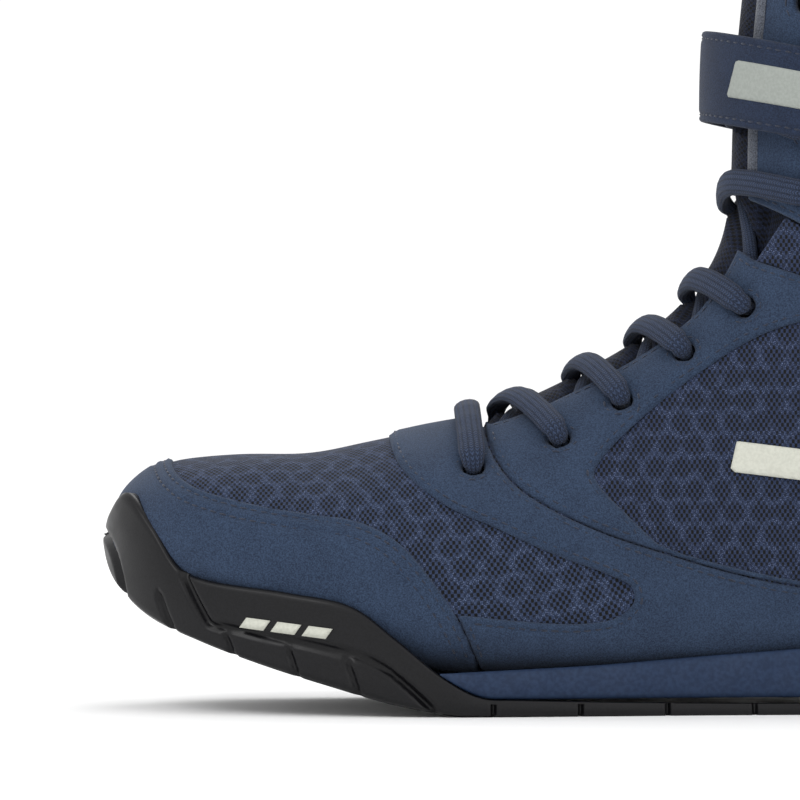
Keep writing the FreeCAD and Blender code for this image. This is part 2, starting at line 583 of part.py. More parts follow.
def shaft(boot, throat, holes, spare):
    """Shaft panels, lining, collar binding, backstay and heel pull tab."""
    top = boot.size("collar_z")
    binding_high, binding_low, binding_top = 2.4, -5.6, 3.2
    for side, name in ((-1, "lateral"), (1, "medial")):
        outline = joined(SHAFT_HEM, [(150.0, 120.0), (150.0, top)], [(150.0, top), (20.0, top)],
                         [(20.0, top), (20.0, 152.0)])
        prism = boot.side_prism(f"shaft_panel_{name}_profile", outline, side)
        boot.keep(boot.shell(f"shaft_panel_{name}", boot.size("overlay_high"), -boot.size("mesh_depth"),
                             prism, throat, holes[side], spare[side]))
        inside = joined([(65.0, 131.0), (70.0, 127.2), (88.0, 117.8), (112.0, 117.3), (150.0, 120.0)],
                        [(150.0, 120.0), (150.0, top)], [(150.0, top), (64.0, top)],
                        [(64.0, top), (65.0, 131.0)])
        prism = boot.side_prism(f"shaft_lining_{name}_profile", inside, side)
        boot.keep(boot.shell(f"shaft_lining_{name}", boot.size("stiffener_high"),
                             boot.size("lining_low"), prism))
    rim = joined([(20.0, top + 0.1), (150.0, top + 0.1)],
                 [(150.0, top + 0.1), (150.0, top + binding_top)],
                 [(150.0, top + binding_top), (20.0, top + binding_top)],
                 [(20.0, top + binding_top), (20.0, top + 0.1)])
    boot.keep(boot.shell("collar_binding", binding_high, binding_low,
                         boot.side_prism("collar_profile", rim),
                         throat))

    front = joined([(20.0, 150.0), (56.0, 150.0)], [(56.0, 150.0), (56.0, top - 0.4)],
                   [(56.0, top - 0.4), (20.0, top - 0.4)], [(20.0, top - 0.4), (20.0, 150.0)])
    for side, name in ((-1, "lateral"), (1, "medial")):
        strip = boot.common(f"shaft_piping_{name}_strip",
                            boot.side_prism(f"piping_{name}_profile", front, side),
                            throat_cutter(boot, f"piping_{name}_outer", 3.4, THROAT_FRONT_X))
        slot = throat_cutter(boot, f"piping_{name}_inner", 0.2, THROAT_FRONT_X)
        boot.keep(boot.shell(f"shaft_piping_{name}", 1.85, boot.size("overlay_high") + 0.05, strip,
                             slot))

    strip = joined([(120.0, 122.0), (150.0, 122.0)], [(150.0, 122.0), (150.0, top - 0.5)],
                   [(150.0, top - 0.5), (120.0, top - 0.5)], [(120.0, top - 0.5), (120.0, 122.0)])
    prism = boot.side_prism("backstay_profile", strip)
    slab = boot.doc.addObject("Part::Box", "backstay_width")
    slab.Length, slab.Width, slab.Height = 60, 18, 260
    slab.Placement.Base = V(100, -9, 0)
    band = boot.common("backstay_band", prism, slab)
    boot.keep(boot.shell("backstay", boot.size("trim_high"), boot.size("overlay_high") + 0.05, band))


def pull_tab(boot):
    """A doubled webbing tab that hinges on its stitching behind the collar."""
    width, thick, low, high = 17.0, 2.6, 214.0, 241.0
    near_x, lean = 142.4, 2.4
    outline = joined([(near_x, low), (near_x + thick, low)],
                     [(near_x + thick, low), (near_x + lean + thick, high - 2)],
                     [(near_x + lean + thick, high - 2), (near_x + lean + thick / 2, high),
                      (near_x + lean, high - 2)],
                     [(near_x + lean, high - 2), (near_x, low)])
    sketch = boot.sketch("pull_tab_outline", outline_edges(outline))
    boot.keep(boot.extrude("pull_tab", sketch, V(0, -1, 0), f"{width / 2}", f"{width / 2}"))


# --------------------------------------------------------------------------------------- tongue and lace
def tongue(boot):
    """The padded tongue, its folding tip and the label on the tip."""
    fold, tip = boot.size("tongue_fold_z"), boot.size("tongue_tip_z")
    half = 30.0
    high, low = boot.size("tongue_high"), boot.size("tongue_low")
    pieces = (("tongue", [(-54.0, 40.0), (64.0, 40.0)], fold - 0.2),
              ("tongue_tip", [(20.0, fold + 0.2)], tip))
    for label, base, top in pieces:
        low_z = base[0][1]
        left = base[0][0]
        outline = joined([(left, top), (left, low_z)], [(left, low_z), (62.0, low_z)],
                         [(62.0, low_z), (62.0, top)],
                         [(62.0, top), (left, top)])
        prism = boot.side_prism(f"{label}_profile", outline)
        slab = boot.doc.addObject("Part::Box", f"{label}_width")
        slab.Length, slab.Width, slab.Height = 120, 2 * half, 240
        slab.Placement.Base = V(-54, -half, 48)
        piece = boot.common(f"{label}_strip", prism, slab)
        boot.keep(boot.shell(label, high, low, piece, underfoot(boot, label)))
    label_outline = joined([(20.0, 238.5), (60.0, 238.5)], [(60.0, 238.5), (60.0, 247.0)],
                           [(60.0, 247.0), (20.0, 247.0)],
                           [(20.0, 247.0), (20.0, 238.5)])
    slab = boot.doc.addObject("Part::Box", "tongue_label_width")
    slab.Length, slab.Width, slab.Height = 60, 24, 260
    slab.Placement.Base = V(0, -12, 0)
    block = boot.common("tongue_label_strip", boot.side_prism("tongue_label_profile", label_outline),
                        slab)
    boot.keep(boot.shell("tongue_label", high + 0.9, high + 0.1, block))


def underfoot(boot, label):
    """Everything behind the tongue: keeps only the instep and the front of the shaft."""
    outline = joined([(-60.0, 0.0), (-60.0, 60.0)], [(-60.0, 60.0), (-20.0, 68.0), (14.0, 88.0), (40.0,
                                                                                                  118.0)],
                     [(40.0, 118.0), (56.0, 150.0), (62.0, 260.0)], [(62.0, 260.0), (160.0, 260.0)],
                     [(160.0, 260.0), (160.0, 0.0)], [(160.0, 0.0), (-60.0, 0.0)])
    return boot.side_prism(f"{label}_behind", outline)


def crossing(boot, places, number, side, upper):
    """Points and bends from one eyelet under its eyestay, across, and over the far edge to the next."""
    over, under = boot.size("lace_over"), boot.size("lace_under")
    u0, v0 = place_on_skin(*places[number], side)
    u1, v1 = place_on_skin(*places[number + 1], -side)
    if side < 0:
        u1 -= SECTION_POINTS
    else:
        u0 -= SECTION_POINTS
    early = 0.025 if number == 4 else 0.0
    if upper:
        profile = [(0.27, under, 4.0), (0.375, 2.2, 4.0), (0.5, 2.6, 9.0), (0.62, 3.9, 9.0)]
    else:
        profile = [(0.25, under, 9.0), (0.38, under + 0.7, 9.0), (0.5, -2.0, 9.0),
                   (0.6 - early, -1.4, 4.0)]
    last = (0.705 - early, over, 4.0)
    profile = spread([(0.0, under, 3.1), (0.12, under, 9.0), *profile, last, (0.88, over, 9.0),
                      (1.0, over, 3.1)])
    return [(lifted(u0 + (u1 - u0) * t, v0 + (v1 - v0) * t, height), bend) for t, height,
            bend in profile]


def spread(profile):
    """The profile with a point added in the middle of each span, to follow the skin's curve."""
    out = [profile[0]]
    for before, after in zip(profile, profile[1:]):
        out.append(((before[0] + after[0]) / 2, (before[1] + after[1]) / 2, 9.0))
        out.append(after)
    return out


def lace_path(boot):
    """Corner points of the lace with the bend radius at each, from one tucked end to the other."""
    places = EYELETS_FOOT + EYELETS_SHAFT
    over, under = boot.size("lace_over"), boot.size("lace_under")
    strands = []
    for start in (-1, 1):
        points = []
        side = start
        for number in range(len(places) - 1):
            points += crossing(boot, places, number, side, (start > 0) == (number % 2 == 0))
            side = -side
        u, v = place_on_skin(*places[-1], side)
        tail = [(u, v), *[place_on_skin(x, z, side) for x, z in LACE_TAIL]]
        points += [(lifted(a, b, under), 3.1 if at == 0 else 9.0) for at, (a, b) in enumerate(tail)]
        strands.append(points)
    u, v = place_on_skin(*places[0], -1)
    first = [(lifted(u - 2 * u * t, v, over), 3.1 if t in (0, 1) else 9.0)
             for t in (0.0, 0.12, 0.24, 0.36, 0.5, 0.64, 0.76, 0.88, 1.0)]
    return strands[0][::-1] + first + strands[1]


def rounded(corners):
    """Points along a path whose corners are rounded, close enough together to draw a curve through."""
    points = [corners[0][0]]
    for (before, _), (corner, radius), (after, _) in zip(corners, corners[1:], corners[2:]):
        back, ahead = before - corner, after - corner
        angle = back.getAngle(ahead)
        if angle > math.pi - 0.02:
            points.append(corner)
            continue
        reach = radius / math.tan(angle / 2)
        reach = min(reach, 0.49 * back.Length, 0.49 * ahead.Length)
        radius = reach * math.tan(angle / 2)
        back.normalize()
        ahead.normalize()
        centre = corner + (back + ahead).normalize() * (radius / math.sin(angle / 2))
        first, last = corner + back * reach - centre, corner + ahead * reach - centre
        sweep = math.pi - angle
        steps = max(1, int(math.degrees(sweep) / 18))
        for step in range(steps + 1):
            share = step / steps
            arm = first * math.sin((1 - share) * sweep) + last * math.sin(share * sweep)
            points.append(centre + arm * (1 / math.sin(sweep)))
    points.append(corners[-1][0])
    spaced = [points[0]]
    for point in points[1:]:
        gap = point - spaced[-1]
        if gap.Length < 0.25:
            continue
        pieces = int(gap.Length / 4.5) + 1
        base = spaced[-1]
        spaced += [base + gap * (step / pieces) for step in range(1, pieces + 1)]
    return spaced


def round_cord(path, radius):
    """A round cord along the path, kept free of twist."""
    rings = []
    across = V(0, 0, 1)
    for number, point in enumerate(path):
        ahead = path[min(number + 1, len(path) - 1)] - path[max(number - 1, 0)]
        ahead.normalize()
        across = (across - ahead * across.dot(ahead)).normalize()
        other = ahead.cross(across)
        turns = [math.pi * step / 4 for step in range(8)]
        spokes = [across * math.cos(turn) + other * math.sin(turn) for turn in turns]
        rings.append(closed_curve([point + spoke * radius for spoke in spokes]))
    lengths = [0.0]
    for before, after in zip(path, path[1:]):
        lengths.append(lengths[-1] + (after - before).Length)
    return closed_solid(surface_through(rings, lengths))


def lace(boot):
    """One round lace through every eyelet, with an aglet on each tucked end."""
    path = rounded(lace_path(boot))
    radius = boot.size("lace_radius")
    boot.keep(boot.feature("lace", round_cord(path, radius)))
    length = sum((after - before).Length for before, after in zip(path, path[1:]))
    print(f"lace length {length:.0f} mm")
    for label, end, inner in (("aglet_medial", path[0], path[1]),
                              ("aglet_lateral", path[-1], path[-2])):
        way = (end - inner).normalize()
        aglet = Part.makeCylinder(radius, 19.0, end + way * 0.2, way)
        boot.keep(boot.feature(label, aglet))


# ----------------------------------------------------------------------------------------------- strap
def strap_frame(boot):
    """Centre of the strap at the front, its direction along the boot and its width direction."""
    tilt = math.radians(boot.size("strap_tilt"))
    return (V(boot.size("strap_front_x"), 0, boot.size("strap_front_z")),
            V(math.cos(tilt), 0, -math.sin(tilt)), V(math.sin(tilt), 0, math.cos(tilt)))


def strap_prism(boot, label, first_x, last_x, half_height, side=0, rise=0.0):
    """A tilted rectangle in the side view, from one distance behind the strap's front to another."""
    centre, along, up = strap_frame(boot)
    corners = []
    for run, height in ((first_x, -1), (last_x, -1), (last_x, 1), (first_x, 1)):
        point = centre + along * (run - centre.x) + up * (height * half_height + rise)
        corners.append((point.x, point.z, CORNER))
    return boot.side_prism(label, corners, side)


def ankle_strap(boot):
    """Sewn anchor, moving strap, hook and loop pads and the plain badge."""
    half = boot.size("strap_width") / 2
    low, high, bow = boot.size("strap_low"), boot.size("strap_high"), boot.size("strap_bow")
    pivot, tip = boot.size("strap_pivot_x"), boot.size("strap_tip_x")
    outer, inner = boot.skin(high, bow), boot.skin(low, bow)

    lateral = strap_prism(boot, "strap_lateral", 0.0, tip, half, -1)
    medial = strap_prism(boot, "strap_medial", 0.0, pivot - 0.3, half, 1)
    lateral.setExpression("LengthRev", "1")
    medial.setExpression("LengthFwd", "1")
    both = boot.fuse("strap_profile", [lateral, medial])
    boot.keep(boot.cut("ankle_strap", boot.common("strap_block", both, outer), inner))

    sewn = strap_prism(boot, "strap_anchor_profile", pivot + 0.3, pivot + 30.0, half, 1)
    boot.keep(boot.cut("strap_anchor", boot.common("strap_anchor_block", sewn, outer), boot.skin(1.6)))

    pad = (72.0, tip - 3.0, half - 2.0, -1)
    boot.keep(boot.shell("loop_pad", 2.6, 1.6, strap_prism(boot, "loop_pad_profile", *pad)))
    hook_outer, hook_inner = boot.skin(low - 0.05, bow), boot.skin(2.95, bow)
    block = boot.common("hook_pad_block", strap_prism(boot, "hook_pad_profile", *pad), hook_outer)
    boot.keep(boot.cut("hook_pad", block, hook_inner))

    badge = strap_prism(boot, "strap_badge_profile", 36.0, 86.0, 5.2, -1, 0.5)
    block = boot.common("strap_badge_block", badge, boot.skin(high + 0.7, bow))
    boot.keep(boot.cut("strap_badge", block, boot.skin(high + 0.05, bow)))


# ------------------------------------------------------------------------------------------------- trim
def emblems(boot):
    """Plain raised shapes where the boot carries decoration."""
    high, low = 1.0, 0.05
    prism = boot.side_prism("quarter_emblem_profile", parallelogram(32.0, 68.0, 42.0, 8.5), -1)
    boot.keep(boot.shell("quarter_emblem", high, low, prism))
    plate = boot.side_prism("sidewall_badge_profile", parallelogram(-106.0, 24.5, 26.0, 3.4), -1)
    outer, inner = (boot.plan_prism(label, inset, "60") for label,
                    inset in (("badge_plan", -0.8), ("badge_back", -0.05)))
    boot.keep(boot.cut("sidewall_badge", boot.common("sidewall_badge_block", plate, outer), inner))


def parallelogram(x, z, length, height):
    """A plain slanted bar that falls towards the heel."""
    fall = -0.12 * length
    return [(x, z, CORNER), (x + length, z + fall, CORNER), (x + length + 2, z + fall + height, CORNER),
            (x + 2, z + height, CORNER)]


def export(boot):
    """Recomputes, checks every object and writes one STEP file for each sub-part."""
    boot.doc.recompute()
    for item in boot.doc.Objects:
        if "Invalid" in item.State or "Error" in item.State:
            raise RuntimeError(f"{item.Label} failed: {item.State}")
    os.makedirs("parts", exist_ok=True)
    for old in os.listdir("parts"):
        os.remove(os.path.join("parts", old))
    for item in boot.parts:
        shape = item.Shape
        if shape.isNull() or not shape.isValid() or len(shape.Solids) != 1:
            raise RuntimeError(f"{item.Label} is not one valid solid")
        print(f"{item.Label:24s} solids {len(shape.Solids)} volume {shape.Volume:9.0f}")
        shape.exportStep(os.path.join("parts", f"{item.Label}.step"))


def main():
    boot = Boot()
    throat = throat_cutter(boot, "throat", 0.0, THROAT_FRONT_X)
    wide = throat_cutter(boot, "gusset_throat", 2.0, THROAT_FRONT_X, 52.0)
    foot_holes = {side: eyelet_cutter(boot, f"foot_eyelets_{name}", EYELETS_FOOT, side)
                  for side, name in ((-1, "lateral"), (1, "medial"))}
    shaft_holes = {side: eyelet_cutter(boot, f"shaft_eyelets_{name}", EYELETS_SHAFT, side)
                   for side, name in ((-1, "lateral"), (1, "medial"))}
    spare = {side: eyelet_cutter(boot, f"spare_eyelets_{name}", SPARE_EYELETS, side)
             for side, name in ((-1, "lateral"), (1, "medial"))}
    sole_unit(boot)
    footbed(boot)
    forefoot(boot, foot_holes)
    foot_overlays(boot, throat, foot_holes)
    ankle_gusset(boot, wide)
    shaft(boot, throat, shaft_holes, spare)
    pull_tab(boot)
    tongue(boot)
    lace(boot)
    ankle_strap(boot)
    emblems(boot)
    export(boot)


main()
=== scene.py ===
import math

import bmesh
import bpy
import numpy as np
from mathutils import Matrix, Vector
from mathutils.bvhtree import BVHTree
from mathutils.kdtree import KDTree


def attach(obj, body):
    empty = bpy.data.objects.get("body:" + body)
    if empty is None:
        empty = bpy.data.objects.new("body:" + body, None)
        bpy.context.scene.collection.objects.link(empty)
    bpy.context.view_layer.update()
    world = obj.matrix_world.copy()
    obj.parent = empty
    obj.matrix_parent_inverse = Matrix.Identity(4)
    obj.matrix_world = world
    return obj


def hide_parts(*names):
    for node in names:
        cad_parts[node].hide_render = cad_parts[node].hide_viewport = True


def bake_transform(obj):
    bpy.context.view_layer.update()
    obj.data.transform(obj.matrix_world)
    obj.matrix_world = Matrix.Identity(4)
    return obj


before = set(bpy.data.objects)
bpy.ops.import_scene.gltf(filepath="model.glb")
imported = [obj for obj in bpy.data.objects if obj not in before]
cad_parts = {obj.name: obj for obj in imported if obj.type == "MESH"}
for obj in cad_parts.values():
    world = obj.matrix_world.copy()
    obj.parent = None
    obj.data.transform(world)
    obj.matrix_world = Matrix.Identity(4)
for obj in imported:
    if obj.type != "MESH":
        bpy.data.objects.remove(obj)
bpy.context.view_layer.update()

MM = 0.001

# ------------------------------------------------------------------ the lasted shape (mm)
STATIONS = np.array([
    (-141.8, 53.0, -142.0, 48.0, 9.0, 9.0, 9.0, 0.50, 2.0, 2.0),
    (-140.0, 58.5, -140.5, 42.0, 18.0, 17.5, 9.0, 0.50, 2.1, 2.1),
    (-136.0, 63.5, -136.5, 36.5, 25.5, 24.5, 8.5, 0.50, 2.2, 2.2),
    (-128.0, 68.6, -128.5, 31.3, 33.0, 31.0, 7.5, 0.52, 2.3, 2.5),
    (-116.0, 71.2, -117.0, 27.0, 39.5, 37.0, 6.0, 0.54, 2.3, 2.7),
    (-98.0, 71.9, -99.0, 20.7, 44.8, 42.0, 4.5, 0.57, 2.3, 2.9),
    (-78.0, 73.6, -79.0, 15.0, 48.2, 45.5, 2.5, 0.60, 2.2, 3.1),
    (-56.0, 78.6, -56.0, 10.5, 50.0, 47.5, 1.0, 0.63, 2.1, 3.2),
    (-36.0, 82.6, -30.0, 9.0, 48.8, 46.5, 0.0, 0.64, 2.0, 3.4),
    (-14.0, 91.8, 0.0, 9.3, 44.6, 41.5, 0.0, 0.63, 2.0, 3.7),
    (6.0, 102.8, 32.0, 10.5, 40.0, 36.5, 0.0, 0.60, 2.0, 4.0),
    (20.0, 114.0, 62.0, 12.3, 37.0, 34.5, 0.0, 0.56, 2.0, 4.2),
    (29.0, 126.0, 90.0, 13.7, 36.2, 34.6, 0.0, 0.54, 2.1, 4.2),
    (33.0, 137.0, 114.0, 16.0, 36.2, 35.4, 0.0, 0.52, 2.1, 3.4),
    (34.3, 146.0, 131.0, 23.5, 36.4, 36.0, 0.0, 0.51, 2.1, 2.6),
    (34.8, 154.0, 138.5, 42.0, 36.6, 36.2, 0.0, 0.50, 2.1, 2.2),
    (35.0, 162.0, 139.0, 66.0, 36.8, 36.6, 0.0, 0.50, 2.1, 2.1),
    (35.3, 170.0, 135.5, 92.0, 36.8, 36.8, 0.0, 0.50, 2.1, 2.1),
    (35.8, 180.0, 131.5, 118.0, 36.5, 36.5, 0.0, 0.50, 2.1, 2.1),
    (36.8, 192.0, 131.8, 145.0, 36.6, 36.6, 0.0, 0.50, 2.1, 2.1),
    (38.2, 206.0, 134.5, 175.0, 37.4, 37.4, 0.0, 0.50, 2.1, 2.1),
    (39.5, 219.0, 137.0, 203.0, 38.6, 38.6, 0.0, 0.50, 2.1, 2.1),
    (41.0, 232.0, 139.0, 229.0, 40.0, 40.0, 0.0, 0.50, 2.1, 2.1),
    (42.8, 254.0, 141.0, 256.0, 41.5, 41.5, 0.0, 0.50, 2.1, 2.1)])
TOE_DEPTH = 55.0


def spline_matrix(n, at):
    """Weights that carry n knot values to a natural cubic spline's values at the places in at."""
    a = np.zeros((n, n))
    r = np.zeros((n, n))
    a[0, 0] = a[-1, -1] = 1.0
    for i in range(1, n - 1):
        a[i, i - 1:i + 2] = (1.0, 4.0, 1.0)
        r[i, i - 1:i + 2] = (6.0, -12.0, 6.0)
    second = np.linalg.solve(a, r)
    i = np.clip(np.floor(at).astype(int), 0, n - 2)
    t = at - i
    eye = np.eye(n)
    w = (1 - t)[:, None] * eye[i] + t[:, None] * eye[i + 1]
    w += (((1 - t) ** 3 - (1 - t)) / 6)[:, None] * second[i] + ((t ** 3 - t) / 6)[:, None] * second[i + 1]
    return w


class Skin:
    """A dense grid over the lasted shape: positions, normals, and lengths along and around."""

    def __init__(self, around, per_station, bow=0.0, low=0.0, high=None):
        high = len(STATIONS) - 1.0 if high is None else high
        self.nu = around
        self.v = np.linspace(low, high, int((high - low) * per_station) + 1)
        self.u = np.arange(around + 1) * (24.0 / around)
        angle = self.u * (2 * math.pi / 24)
        rows = STATIONS
        top = np.stack([rows[:, 0], 0 * rows[:, 0], rows[:, 1]], 1)
        back = np.stack([rows[:, 2], 0 * rows[:, 2], rows[:, 3]], 1)
        up = (top - back) / np.linalg.norm(top - back, axis=1)[:, None]
        top = top + up * bow
        c, s = np.cos(angle), np.sin(angle)
        square = np.where(c[None, :] >= 0, rows[:, 8][:, None], rows[:, 9][:, None])
        radius = (np.abs(c)[None] ** square + np.abs(s)[None] ** square) ** (-1.0 / square)
        cc, ss = c * radius, s * radius
        depth = np.linalg.norm(back - top, axis=1)[:, None]
        widest = rows[:, 7][:, None]
        down = np.where(cc >= 0, widest * depth * (1 - cc), widest * depth - (1 - widest) * depth * cc)
        p = top[:, None, :] - up[:, None, :] * down[:, :, None]
        p[:, :, 1] = rows[:, 6][:, None] - ss * np.where(ss >= 0, rows[:, 4][:, None], rows[:, 5][:, None])
        w = spline_matrix(len(rows), self.v)
        self.p = np.einsum("ij,jkl->ikl", w, p)
        du = np.gradient(self.p, axis=1)
        du[:, 0] = du[:, -1] = (self.p[:, 1] - self.p[:, -2]) / 2
        dv = np.gradient(self.p, axis=0)
        n = np.cross(du, dv)
        n /= np.maximum(np.linalg.norm(n, axis=2), 1e-9)[:, :, None]
        middle = self.p[:, :-1].mean(axis=1)[:, None]
        flip = np.sign(((self.p - middle) * n).sum(axis=2).mean())
        self.n = n * flip
        step = np.linalg.norm(np.diff(self.p, axis=1), axis=2)
        arc = np.concatenate([np.zeros((len(self.v), 1)), np.cumsum(step, axis=1)], 1)
        self.arc = np.where(self.u[None] <= 12, arc, arc - arc[:, -1:])
        line = self.p[:, 0]
        self.along = np.concatenate([[0], np.cumsum(np.linalg.norm(np.diff(line, axis=0), axis=1))])

    def sample(self, u, v, h=0.0):
        """Points this high over the skin at fractional grid parameters."""
        u = np.mod(np.asarray(u, float), 24.0) * (self.nu / 24.0)
        v = (np.asarray(v, float) - self.v[0]) / (self.v[1] - self.v[0])
        i = np.clip(np.floor(u).astype(int), 0, self.nu - 1)
        j = np.clip(np.floor(v).astype(int), 0, len(self.v) - 2)
        a, b = (u - i)[..., None], np.clip(v - j, 0, 1)[..., None]

        def mix(g):
            return (g[j, i] * (1 - a) + g[j, i + 1] * a) * (1 - b) + (g[j + 1, i] * (1 - a) + g[j + 1, i + 1] * a) * b
        n = mix(self.n)
        n = n / np.linalg.norm(n, axis=-1)[..., None]
        return mix(self.p) + n * np.asarray(h, float)[..., None], n

    def find(self, x, z, side):
        """Parameters of the skin's point over a side-view place; side is -1 for lateral, 1 for medial."""
        half = slice(0, self.nu // 2 + 1) if side < 0 else slice(self.nu // 2, self.nu + 1)
        g = self.p[:, half]
        d = (g[:, :, 0] - x) ** 2 + (g[:, :, 2] - z) ** 2
        j, i = np.unravel_index(np.argmin(d), d.shape)
        u, v = self.u[half][i], self.v[j]
        for _ in range(12):
            q = self.sample(np.array([u, u + 0.02, u]), np.array([v, v, v + 0.02]))[0]
            du, dv = (q[1] - q[0]) / 0.02, (q[2] - q[0]) / 0.02
            det = du[0] * dv[2] - dv[0] * du[2]
            ex, ez = x - q[0][0], z - q[0][2]
            u += float(np.clip((ex * dv[2] - dv[0] * ez) / det, -0.5, 0.5))
            v += float(np.clip((du[0] * ez - ex * du[2]) / det, -0.5, 0.5))
        return u, v


# ------------------------------------------------------------------ outlines in the side view
def smooth(points, step=1.0):
    """A centripetal Catmull-Rom curve through side-view points, sampled about every step."""
    p = np.array(points, float)
    if len(p) == 2:
        n = max(2, int(np.linalg.norm(p[1] - p[0]) / step))
        return p[0] + (p[1] - p[0]) * np.linspace(0, 1, n + 1)[:, None]
    p = np.vstack([2 * p[0] - p[1], p, 2 * p[-1] - p[-2]])
    out = []
    for a, b, c, d in zip(p, p[1:], p[2:], p[3:]):
        t0, t1 = 0.0, np.linalg.norm(b - a) ** 0.5
        t2 = t1 + np.linalg.norm(c - b) ** 0.5
        t3 = t2 + np.linalg.norm(d - c) ** 0.5
        t = np.linspace(t1, t2, max(2, int(np.linalg.norm(c - b) / step)) + 1)[:-1, None]
        a1 = (t1 - t) / (t1 - t0) * a + (t - t0) / (t1 - t0) * b
        a2 = (t2 - t) / (t2 - t1) * b + (t - t1) / (t2 - t1) * c
        a3 = (t3 - t) / (t3 - t2) * c + (t - t2) / (t3 - t2) * d
        b1 = (t2 - t) / (t2 - t0) * a1 + (t - t0) / (t2 - t0) * a2
        b2 = (t3 - t) / (t3 - t1) * a2 + (t - t1) / (t3 - t1) * a3
        out.append((t2 - t) / (t2 - t1) * b1 + (t - t1) / (t2 - t1) * b2)
    return np.vstack(out + [p[-2][None]])


def outline(*runs):
    """A closed side-view loop; runs meet in corners."""
    parts = [smooth(run)[:-1] for run in runs]
    return np.vstack(parts)


def distance(points, loop):
    """Signed distance in the side view, negative inside the loop, with its gradient."""
    a = loop
    b = np.roll(loop, -1, axis=0)
    best = np.full(len(points), 1e9)
    near = np.zeros((len(points), 2))
    inside = np.zeros(len(points), bool)
    for p0, p1 in zip(a, b):
        e = p1 - p0
        w = points - p0
        t = np.clip((w @ e) / max(e @ e, 1e-12), 0, 1)
        q = p0 + t[:, None] * e
        d = np.hypot(*(points - q).T)
        hit = d < best
        best[hit] = d[hit]
        near[hit] = q[hit]
        cross = (p0[1] > points[:, 1]) != (p1[1] > points[:, 1])
        with np.errstate(divide="ignore", invalid="ignore"):
            xs = p0[0] + (points[:, 1] - p0[1]) * e[0] / (e[1] if abs(e[1]) > 1e-12 else 1e-12)
        inside ^= cross & (points[:, 0] < xs)
    sign = np.where(inside, -1.0, 1.0)
    g = (points - near) / np.maximum(best, 1e-6)[:, None] * sign[:, None]
    return best * sign, g


def side_field(skin, loop, margin=14.0):
    """Distance along the skin to a side-view loop, negative inside it, over the whole grid."""
    p, n = skin.p[:, :-1], skin.n[:, :-1]
    x, z = p[..., 0], p[..., 2]
    low, high = loop.min(axis=0) - margin, loop.max(axis=0) + margin
    near = (x > low[0]) & (x < high[0]) & (z > low[1]) & (z < high[1])
    f = np.full(x.shape, margin)
    d, g = distance(np.stack([x[near], z[near]], 1), loop)
    m = np.sqrt(np.clip(1 - (n[near][:, 0] * g[:, 0] + n[near][:, 2] * g[:, 1]) ** 2, 0.04, 1))
    f[near] = d / m
    return f


THROAT = [(-41.0, 15.0), (-30.0, 16.9), (-5.0, 15.6), (15.0, 13.8), (30.0, 14.2), (49.5, 16.4)]


def slot_field(skin, extra=0.0, last_x=49.5, front_x=-41.0):
    """Distance into the throat's slot: positive inside it, negative on the panels beside it."""
    p, n = skin.p[:, :-1], skin.n[:, :-1]
    t = np.interp(p[..., 0], [q[0] for q in THROAT], [q[1] for q in THROAT]) + extra
    m = np.sqrt(np.clip(1 - n[..., 1] ** 2, 0.1, 1))
    side = (t - np.abs(p[..., 1])) / m
    mx = np.sqrt(np.clip(1 - n[..., 0] ** 2, 0.1, 1))
    return np.minimum.reduce([side, (p[..., 0] - front_x) / mx, (last_x - p[..., 0]) / mx, p[..., 2] - 52.0])


def hole_field(skin, places, side, radius):
    """Distance into punched holes: positive inside one."""
    f = np.full(skin.p[:, :-1].shape[:2], -20.0)
    for x, z in places:
        u, v = skin.find(x, z, side)
        c, n = skin.sample(np.array([u]), np.array([v]))
        w = skin.p[:, :-1] - c[0]
        off = w - (w @ n[0])[..., None] * n[0]
        d = np.linalg.norm(off, axis=2)
        d[np.abs(w @ n[0]) > 15] = 99.0
        f = np.maximum(f, radius - d)
    return f


def grid_lookup(skin, grid, u, v):
    """Bilinear values of a (station, around) grid; the grid may leave out the repeated last column."""
    if grid.shape[1] == skin.nu:
        grid = np.concatenate([grid, grid[:, :1]], 1)
    u = np.mod(u, 24.0) * (skin.nu / 24.0)
    v = (v - skin.v[0]) / (skin.v[1] - skin.v[0])
    i = np.clip(np.floor(u).astype(int), 0, skin.nu - 1)
    j = np.clip(np.floor(v).astype(int), 0, len(skin.v) - 2)
    a, b = u - i, np.clip(v - j, 0, 1)
    return (grid[j, i] * (1 - a) + grid[j, i + 1] * a) * (1 - b) + (grid[j + 1, i] * (1 - a) + grid[j + 1, i + 1] * a) * b


